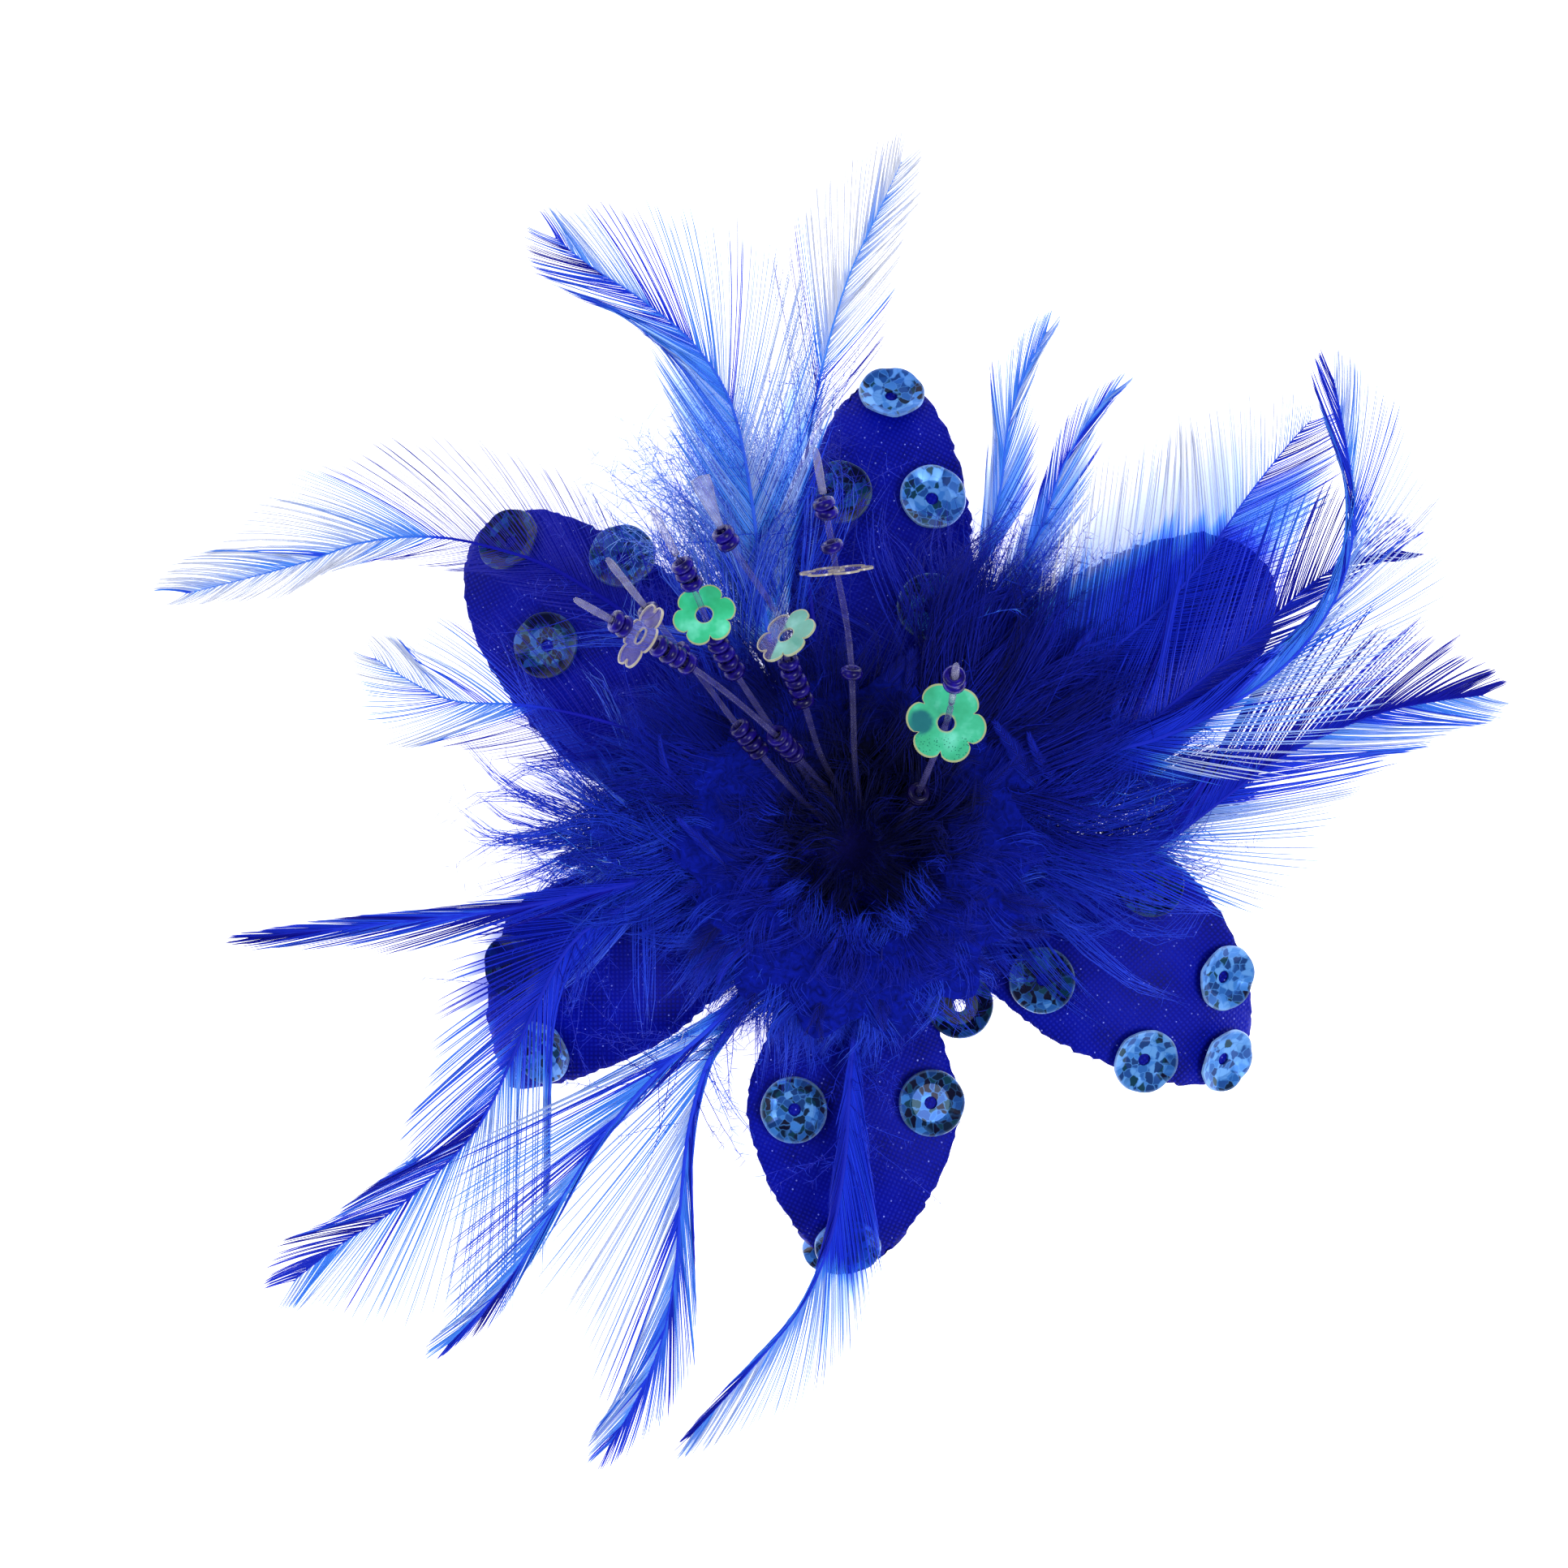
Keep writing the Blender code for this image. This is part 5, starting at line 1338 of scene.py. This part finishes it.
def leaf_barbs(quills, half_width, rng, per_side, rings=5, angle=0.42):
    """Barbs on both sides of short free quills, which make pointed leaves."""
    count, k, _ = quills.shape
    share = np.linspace(0.06, 0.93, per_side)
    spot = share * (k - 1)
    low = np.minimum(spot.astype(int), k - 2)
    part = (spot - low)[None, :, None]
    base = between(quills, slice(None), low, part)
    forward = unit(quills[:, low + 1] - quills[:, low])
    width = half_width[:, None] * (smooth_step(share / 0.3) * (1 - share) ** 0.7 * 1.4)[None]
    steps = np.linspace(0, 1, rings)
    found = []
    for side in (1, -1):
        across = unit(np.cross((0.0, 0.0, 1.0), forward) * side + rng.normal(0, 0.05, (count, 1, 3)))
        reach = width / math.sin(angle) * rng.uniform(0.85, 1.05, width.shape)
        ahead = math.cos(angle) * reach[..., None] * steps
        aside = math.sin(angle) * reach[..., None] * (steps - 0.25 * steps ** 2)
        paths = (base[:, :, None] + forward[:, :, None] * ahead[..., None]
                 + across[:, :, None] * aside[..., None])
        found.append(paths.reshape(-1, rings, 3))
    return np.concatenate(found)


def add_tuft(strands, row, density, rng):
    """Add one tuft of down: wandering strands with side hairs."""
    direction, start, end, spread, top, number, tone, lean = row
    number = int(number * density)
    turn = np.radians(rng.normal(direction, spread, number))
    root = rng.uniform(start - 3, start + 0.5 * (end - start), number)
    starts = polar(root, turn, TUFT_FOOT + (top - TUFT_FOOT) * (root - start) / (end - start))
    reach = (end - root) * rng.uniform(0.35, 1.0, number)
    climb = (top - TUFT_FOOT) / (end - start) + rng.normal(0, 0.1, number)
    sway = turn + math.radians(lean) + rng.normal(0, 0.28, number)
    heading = np.stack((np.cos(sway), np.sin(sway), climb), axis=-1)
    paths = wave_lines(starts, heading, reach, rng, rings=7, waviness=0.07)
    # Painted shade over dark cloth or down, where no backlight shines through the fluff
    shade = np.clip(rng.normal(tone, 0.08, (number, 1)), 0, 1) * painted_backlight_share(paths, TUFTS_OVER_DARK)
    strands.add(paths, np.linspace(0.06, 0.03, 7), shade)
    side_hairs = 14
    hairs = barbule_lines(paths, rng, side_hairs, 2.6)
    strands.add(hairs, TUFT_HAIR, np.clip(np.repeat(shade[:, 3], side_hairs)[:, None] + 0.1, 0, 1))


def add_leaf_tips(strands, rng):
    """Add the hackle tips that stand in the ruff: free ones all round, and the placed ones."""
    turn = np.arange(LEAF_TIPS) / LEAF_TIPS * math.tau + rng.normal(0, 0.08, LEAF_TIPS)
    root = rng.uniform(10, 15, LEAF_TIPS)
    starts = polar(root, turn, 15 + 0.55 * (root - 9))
    sway = turn + rng.normal(0, 0.35, LEAF_TIPS)
    heading = np.stack((np.cos(sway), np.sin(sway), rng.uniform(0.15, 0.6, LEAF_TIPS)), axis=-1)
    reach = rng.uniform(9, 15, LEAF_TIPS)
    quills = wave_lines(starts, heading, reach, rng, rings=10, waviness=0.035)
    free = (quills, rng.uniform(1.0, 2.0, LEAF_TIPS), rng.normal(0.2, 0.04, LEAF_TIPS))
    placed = leaf_paths(rng)
    broad = placed[1] > BROAD_LEAF
    # Each group: its quills, half widths and tones, barbs on a side, and their radius
    for (paths, half, tones), per_side, thick in ((free, 22, 0.07),
                                                  ([part[~broad] for part in placed], 26, 0.075),
                                                  ([part[broad] for part in placed], 38, 0.10)):
        strands.add(paths, np.linspace(0.12, 0.03, 10), 0.3 * tones[:, None], sides=5)
        barbs = leaf_barbs(paths, half, rng, per_side, rings=len(LEAF_HAIR))
        shades = np.tile(np.repeat(tones[:, None], per_side, axis=0), (2, 1))
        strands.add(barbs, thick * np.array(LEAF_HAIR),
                    np.clip(shades + rng.normal(0, 0.05, shades.shape), 0, 1))


class FASCINATOR_OT_ruff(bpy.types.Operator):
    """Make the marabou ruff round the stamens and its loose tufts"""
    bl_idname = "fascinator.ruff"
    bl_label = "Marabou ruff"

    def execute(self, context):
        rng = np.random.default_rng(7)
        down = dyed_hair("dyed_marabou_hair", ("#040838", "#1020b0", colours().down, "#84b0fc"))
        heart = link("marabou_heart", ruff_body("marabou_heart"), [shaded_marabou()])
        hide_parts("marabou_ruff")
        for name, rows in (("marabou_ring_wisps", RUFF_WISPS), ("marabou_loose_wisps", LOOSE_WISPS)):
            strands = Strands()
            for row in rows:
                add_wisps(strands, wisp_paths(row, rng), rng)
            piece = link(name, strands.mesh(name, soft=0.8), [down])
        strands = Strands()
        for row in TUFTS:
            add_tuft(strands, row, sizes().down_strands / DOWN_STRANDS, rng)
        piece = link("marabou_tufts", strands.mesh("marabou_tufts", soft=0.8), [down])
        strands = Strands()
        add_leaf_tips(strands, rng)
        piece = link("ruff_hackle_tips", strands.mesh("ruff_hackle_tips", soft=0.7), [down])
        return {"FINISHED"}


def bead_material():
    """Seed bead glass: deep violet blue, with a clear surface."""
    material = new_material("seed_bead_glass")
    place = add_node(material, "ShaderNodeTexCoord").outputs["Object"]
    streaks = add_node(material, "ShaderNodeTexNoise", Vector=place, Scale=900.0, Detail=2.0)
    glass = add_node(material, "ShaderNodeValToRGB", {"stops": ((0.35, "#0a0350"), (0.65, colours().bead))},
                     Fac=streaks.outputs["Fac"]).outputs[0]
    # Painted shade: beads low in the ruff turn almost black
    painted_light = add_node(material, "ShaderNodeAttribute", {"attribute_name": "tone"}).outputs["Fac"]
    lit = add_node(material, "ShaderNodeMix", {"data_type": "RGBA"}, n0=painted_light, n6="#06031c",
                   n7=glass)
    shader = add_node(material, "ShaderNodeBsdfPrincipled", Base_Color=lit.outputs[2], Roughness=0.25,
                      Specular_IOR_Level=0.18)
    return put_out(material, shader.outputs[0])


def rod_material(name, body, cloudy, deep, high):
    """Clear plastic rod: thin streaks in it, painted fainter deep in the ruff as shade, and milky at its tip.
    """
    material = new_material(name)
    place = add_node(material, "ShaderNodeTexCoord").outputs["Object"]
    cloud = add_node(material, "ShaderNodeTexNoise", Vector=place, Scale=700.0, Detail=3.0)
    milky = add_node(material, "ShaderNodeValToRGB", {"stops": ((0.3, body), (0.7, cloudy))},
                     Fac=cloud.outputs["Fac"]).outputs[0]
    height = add_node(material, "ShaderNodeAttribute", {"attribute_name": "tone"}).outputs["Fac"]
    # Painted shade: deep in the ruff the rod lets more of the dark down through
    share = add_node(material, "ShaderNodeMapRange", Value=height, To_Min=deep, To_Max=high)
    # Clear plastic shows by its edges, on white as on blue
    turned = add_node(material, "ShaderNodeLayerWeight", Blend=0.5).outputs["Facing"]
    colour = add_node(material, "ShaderNodeMix", {"data_type": "RGBA"}, n0=turned, n6=milky,
                      n7="#3c3a70")
    edge = add_node(material, "ShaderNodeMapRange", Value=height, From_Min=0.35, To_Min=0.05, To_Max=0.9)
    narrow = add_node(material, "ShaderNodeMath", {"operation": "POWER"}, n0=turned, n1=2.0)
    cover = add_node(material, "ShaderNodeMath", {"operation": "MULTIPLY_ADD"}, n0=narrow.outputs[0],
                     n1=edge.outputs[0], n2=share.outputs[0])
    shader = add_node(material, "ShaderNodeBsdfPrincipled", Base_Color=colour.outputs[2], Roughness=0.22,
                      IOR=1.45, Specular_IOR_Level=0.35, Alpha=cover.outputs[0])
    return put_out(material, shader.outputs[0])


def add_bead(bm, place, direction, rng):
    """Add one seed bead: a ring with round shoulders."""
    radius, height = sizes().bead_radius / MM, sizes().bead_height / MM
    middle, half = (radius + BEAD_HOLE) / 2, (radius - BEAD_HOLE) / 2
    profile = [bm.verts.new((middle + half * math.cos(a), 0, height / 2 * math.sin(a) * 0.94))
               for a in np.linspace(0, math.tau, 9)[:-1]]
    edges = [bm.edges.new(pair) for pair in zip(profile, profile[1:] + profile[:1])]
    bmesh.ops.spin(bm, geom=profile + edges, cent=(0, 0, 0), axis=(0, 0, 1), angle=math.tau,
                   steps=16, use_merge=True)
    verts = [vert for vert in bm.verts if not vert.tag]
    lean = Vector(direction) + Vector(rng.normal(0, 0.10, 3))
    shift = Vector(place) + Vector(rng.normal(0, 0.05, 3))
    bmesh.ops.transform(bm, matrix=placing(shift, lean), verts=verts)
    tone = bm.verts.layers.float["tone"]
    for vert in verts:
        vert.tag = True
        # Painted shade by height: lower beads sit deeper in the ruff's shade
        vert[tone] = ease((place[2] - BEADS_DARK_BELOW) / BEADS_DARK_REACH)


def rod_mesh(name, route, rng):
    """One rod of a stamen with its milky tip, which is a flat paddle on one of them."""
    stations = np.concatenate((np.linspace(0, 0.97, 46), (0.985, 0.995, 1.0)))
    path, _ = along_route(route, stations)
    tip = smooth_step((stations - 0.84) / 0.1)
    radius = sizes().rod_radius / MM * (0.86 + 0.22 * tip + rng.normal(0, 0.035, len(stations)))
    radius[-3:] *= (0.9, 0.6, 0.3)
    flatten = 1.0
    if name == PADDLE_ROD:
        radius = radius * (1 + 1.9 * smooth_step((stations - 0.89) / 0.12))
        radius[-3:] = radius[-4] * np.array((1.04, 1.06, 1.0))
        flatten = 0.45
    last = int(len(stations) * MILKY_TIPS[name])
    # Painted shade: rods are fainter low in the ruff
    lit = smooth_step((path[None, :, 2] - RODS_DARK_BELOW) / RODS_DARK_REACH)
    rod = Strands()
    rod.add(path[None, :last + 1], radius[None, :last + 1], lit[:, :last + 1], sides=10, flatten=flatten)
    rod.add(path[None, last:], radius[None, last:] * 1.02, lit[:, last:], sides=10, flatten=flatten,
            slot=1)
    return rod.mesh(name + "_rod")


def beads_mesh(name, route, runs, rng):
    """The seed beads of a stamen, side by side along each of its runs."""
    bm = bmesh.new()
    bm.verts.layers.float.new("tone")
    for start, end in runs:
        run = (end - start) * route_length(route)
        number = max(int(round(run / (sizes().bead_height / MM))), 1)
        for i in range(number):
            share = start + (end - start) * (i + 0.5) / number
            place, direction = along_route(route, [share])
            add_bead(bm, place[0], direction[0], rng)
    mesh = finish_mesh(name + "_beads", bm)
    mesh.shade_smooth()
    return mesh


class FASCINATOR_OT_stamens(bpy.types.Operator):
    """Make the clear rods and thread the seed beads on them"""
    bl_idname = "fascinator.stamens"
    bl_label = "Beaded stamens"

    def execute(self, context):
        rng = np.random.default_rng(31)
        plastic = [rod_material("clear_plastic_rod", "#45408c", "#7874b4", deep=0.02, high=0.15),
                   rod_material("melted_plastic_tip", "#8480b4", colours().rod, deep=0.16, high=0.24)]
        glass = bead_material()
        for name, points, runs in STAMENS:
            route = smooth_route(points)
            piece = link(name + "_rod", rod_mesh(name, route, rng), plastic)
            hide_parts(name)
            beads = link(name + "_beads", beads_mesh(name, route, runs, rng), [glass])
        return {"FINISHED"}


def flower_material():
    """Flower sequin of clear film with a green sheen, a dark pressed spot and a pale cut edge."""
    material = new_material("iridescent_film")
    place = add_node(material, "ShaderNodeUVMap", {"uv_map": "film"}).outputs[0]
    painted = {key: add_node(material, "ShaderNodeAttribute", {"attribute_name": key}).outputs["Fac"]
               for key in FLOWER_PAINT}
    cloud = add_node(material, "ShaderNodeTexNoise", Vector=place, Scale=0.35, Detail=3.0)
    green = add_node(material, "ShaderNodeValToRGB",
                     {"stops": ((0.35, "#2cb87c"), (0.55, "#3ccc94"), (0.75, "#74ecc8"))},
                     Fac=cloud.outputs["Fac"])
    # Bubbles under the foil, 0.2 to 0.3 mm across
    bubbles = add_node(material, "ShaderNodeTexVoronoi", Vector=place, Scale=3.4)
    dots = add_node(material, "ShaderNodeMapRange", Value=bubbles.outputs["Distance"], From_Min=0.15,
                    From_Max=0.3, To_Min=1.0, To_Max=0.0)
    speckled = add_node(material, "ShaderNodeMath", {"operation": "MULTIPLY"}, n0=dots.outputs[0],
                        n1=painted["specks"])
    colour = "#7468b8"
    for share, over in ((painted["tone"], green.outputs[0]), (speckled.outputs[0], "#0c6c5c"),
                        (painted["spot"], "#0a5a74"), (painted["rim"], "#b8b084")):
        colour = add_node(material, "ShaderNodeMix", {"data_type": "RGBA"}, n0=share,
                          n6=colour, n7=over).outputs[2]
    solid = add_node(material, "ShaderNodeMath", {"operation": "MAXIMUM"}, n0=painted["tone"],
                     n1=painted["rim"])
    cover = add_node(material, "ShaderNodeMapRange", Value=solid.outputs[0], To_Min=0.16, To_Max=1.0)
    shader = add_node(material, "ShaderNodeBsdfPrincipled", Base_Color=colour, Roughness=0.18,
                      Alpha=cover.outputs[0])
    return put_out(material, shader.outputs[0])


def make_flower(name, place, facing, diameter, shine, clear_side, seed):
    """A flat sequin with six round lobes and a hole."""
    rng = np.random.default_rng(seed)
    lobes, valley, hole, count = 6, 0.72, 1.0, 96
    turn = rng.uniform(0, math.tau / lobes)
    bm = bmesh.new()
    film = bm.loops.layers.uv.new("film")
    # A point's height stands for its level from the hole to the cut edge until it is painted
    rings = []
    for level in (0.0, 0.08, 0.22, 0.36, 0.5, 0.64, 0.78, 0.93, 0.95, 1.0):
        ring = bmesh.ops.create_circle(bm, segments=count, radius=1.0)["verts"]
        for vert in ring:
            angle = math.atan2(vert.co.y, vert.co.x)
            bulge = math.sqrt(abs(math.cos(angle * lobes / 2)))
            outer = diameter / 2 * (valley + (1 - valley) * bulge)
            radius = hole + (outer - hole) * level
            vert.co = (radius * math.cos(angle + turn), radius * math.sin(angle + turn), level)
        rings.append(list({edge for vert in ring for edge in vert.link_edges
                           if edge.other_vert(vert) in ring}))
    for inner, outer in zip(rings, rings[1:]):
        bmesh.ops.bridge_loops(bm, edges=inner + outer)
    tone, rim, spot, specks = [bm.verts.layers.float.new(key) for key in FLOWER_PAINT]
    side = Vector((math.cos(math.radians(clear_side)), math.sin(math.radians(clear_side)), 0))
    for vert in bm.verts:
        vert[rim] = 0.8 if vert.co.z > 0.94 or vert.co.z < 0.04 else 0.0
        vert.co.z = 0.0
        toward = vert.co.dot(side) / (diameter / 2)
        vert[tone] = shine * (1 - ease((toward - 0.15) / 0.12)) if clear_side else shine
        if name == SPOTTED_FLOWER:
            away = (vert.co - Vector(SPOT_PLACE)).length
            vert[spot] = 0.85 * (1 - ease((away - SPOT_RADIUS) / 0.5))
            vert[specks] = ease((-vert.co.y - 1.2) / 0.8)
    face_up(bm)
    for face in bm.faces:
        for loop in face.loops:
            loop[film].uv = (loop.vert.co.x + 30 * seed, loop.vert.co.y)
    return finish_sequin(name, bm, place, facing, sharp_angle=40)


class FASCINATOR_OT_flower_sequins(bpy.types.Operator):
    """Make the iridescent flower sequins on the stamens"""
    bl_idname = "fascinator.flower_sequins"
    bl_label = "Flower sequins"

    def execute(self, context):
        routes = {name: smooth_route(points) for name, points, _ in STAMENS}
        film = flower_material()
        for seed, (name, stamen, share, diameter, facing, shine, clear_side) in enumerate(FLOWER_SEQUINS):
            place, _ = along_route(routes[stamen], [share])
            mesh = make_flower(name + "_film", place[0], facing, diameter, shine, clear_side, seed + 1)
            piece = link(name + "_film", mesh, [film])
            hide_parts(name)
        return {"FINISHED"}


def felt_material():
    """Wool felt: matt, dyed fibres 0.5 to 1 mm long, pressed so that they cross every way."""
    material = new_material("wool_felt")
    place = add_node(material, "ShaderNodeTexCoord").outputs["Object"]
    fibres = add_node(material, "ShaderNodeTexNoise", Vector=place, Scale=1400.0, Detail=6.0,
                      Distortion=1.5).outputs["Fac"]
    wool = add_node(material, "ShaderNodeValToRGB", {"stops": ((0.3, "#08083c"), (0.7, colours().felt))},
                    Fac=fibres)
    nap = add_node(material, "ShaderNodeBump", Height=fibres, Strength=0.6, Distance=0.0003)
    shader = add_node(material, "ShaderNodeBsdfPrincipled", Base_Color=wool.outputs[0], Roughness=0.95,
                      Specular_IOR_Level=0.1, Normal=nap.outputs[0])
    return put_out(material, shader.outputs[0])


def steel_material():
    """Nickel-plated steel, with polishing lines 0.05 to 0.2 mm apart that run along the clip."""
    material = new_material("nickel_plated_steel")
    place = add_node(material, "ShaderNodeTexCoord").outputs["Object"]
    lines = add_node(material, "ShaderNodeMapping", Vector=place, Scale=(60.0, 4000.0, 4000.0))
    scratches = add_node(material, "ShaderNodeTexNoise", Vector=lines.outputs[0], Scale=1.0,
                         Detail=3.0).outputs["Fac"]
    rough = add_node(material, "ShaderNodeMapRange", Value=scratches, To_Min=0.22, To_Max=0.42)
    plate = add_node(material, "ShaderNodeValToRGB", {"stops": ((0.3, "#b8b8bc"), (0.7, "#d8d8da"))},
                     Fac=scratches)
    shader = add_node(material, "ShaderNodeBsdfPrincipled", Base_Color=plate.outputs[0], Metallic=1.0,
                      Roughness=rough.outputs[0])
    return put_out(material, shader.outputs[0])


class FASCINATOR_OT_hidden_back(bpy.types.Operator):
    """Finish the felt disc and the steel clip at the back"""
    bl_idname = "fascinator.hidden_back"
    bl_label = "Felt disc and clip"

    def execute(self, context):
        for node, material, slot in (("felt_backing", felt_material(), "felt"),
                                     ("hair_clip", steel_material(), "clip_steel")):
            solid = next(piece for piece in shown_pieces() if piece.get("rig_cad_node") == node)
            for entry in solid.material_slots:
                entry.material = material
        return {"FINISHED"}


class FASCINATOR_PT_panel(bpy.types.Panel):
    """The fascinator's pieces and settings"""
    bl_idname = "FASCINATOR_PT_panel"
    bl_label = "Fascinator"
    bl_space_type = "VIEW_3D"
    bl_region_type = "UI"
    bl_category = "Fascinator"

    def draw(self, context):
        column = self.layout.column()
        for step in STEPS:
            column.operator(step.bl_idname)
        for group in (sizes(), colours()):
            for key in group.__annotations__:
                self.layout.prop(group, key)


STEPS = (FASCINATOR_OT_stage, FASCINATOR_OT_hidden_back, FASCINATOR_OT_petals, FASCINATOR_OT_cup_sequins,
         FASCINATOR_OT_feathers, FASCINATOR_OT_ruff, FASCINATOR_OT_stamens, FASCINATOR_OT_flower_sequins)
CLASSES = (FascinatorSizes, FascinatorColours, *STEPS, FASCINATOR_PT_panel)


def register():
    """Add the classes and the scene's settings."""
    for kind in CLASSES:
        bpy.utils.register_class(kind)
    bpy.types.Scene.fascinator_sizes = PointerProperty(type=FascinatorSizes)
    bpy.types.Scene.fascinator_colours = PointerProperty(type=FascinatorColours)


def unregister():
    """Take the settings and the classes away."""
    del bpy.types.Scene.fascinator_colours
    del bpy.types.Scene.fascinator_sizes
    for kind in reversed(CLASSES):
        bpy.utils.unregister_class(kind)


def main():
    """Make every piece in order."""
    register()
    for step in STEPS:
        group, name = step.bl_idname.split(".")
        getattr(getattr(bpy.ops, group), name)()


if __name__ == "__main__":
    main()
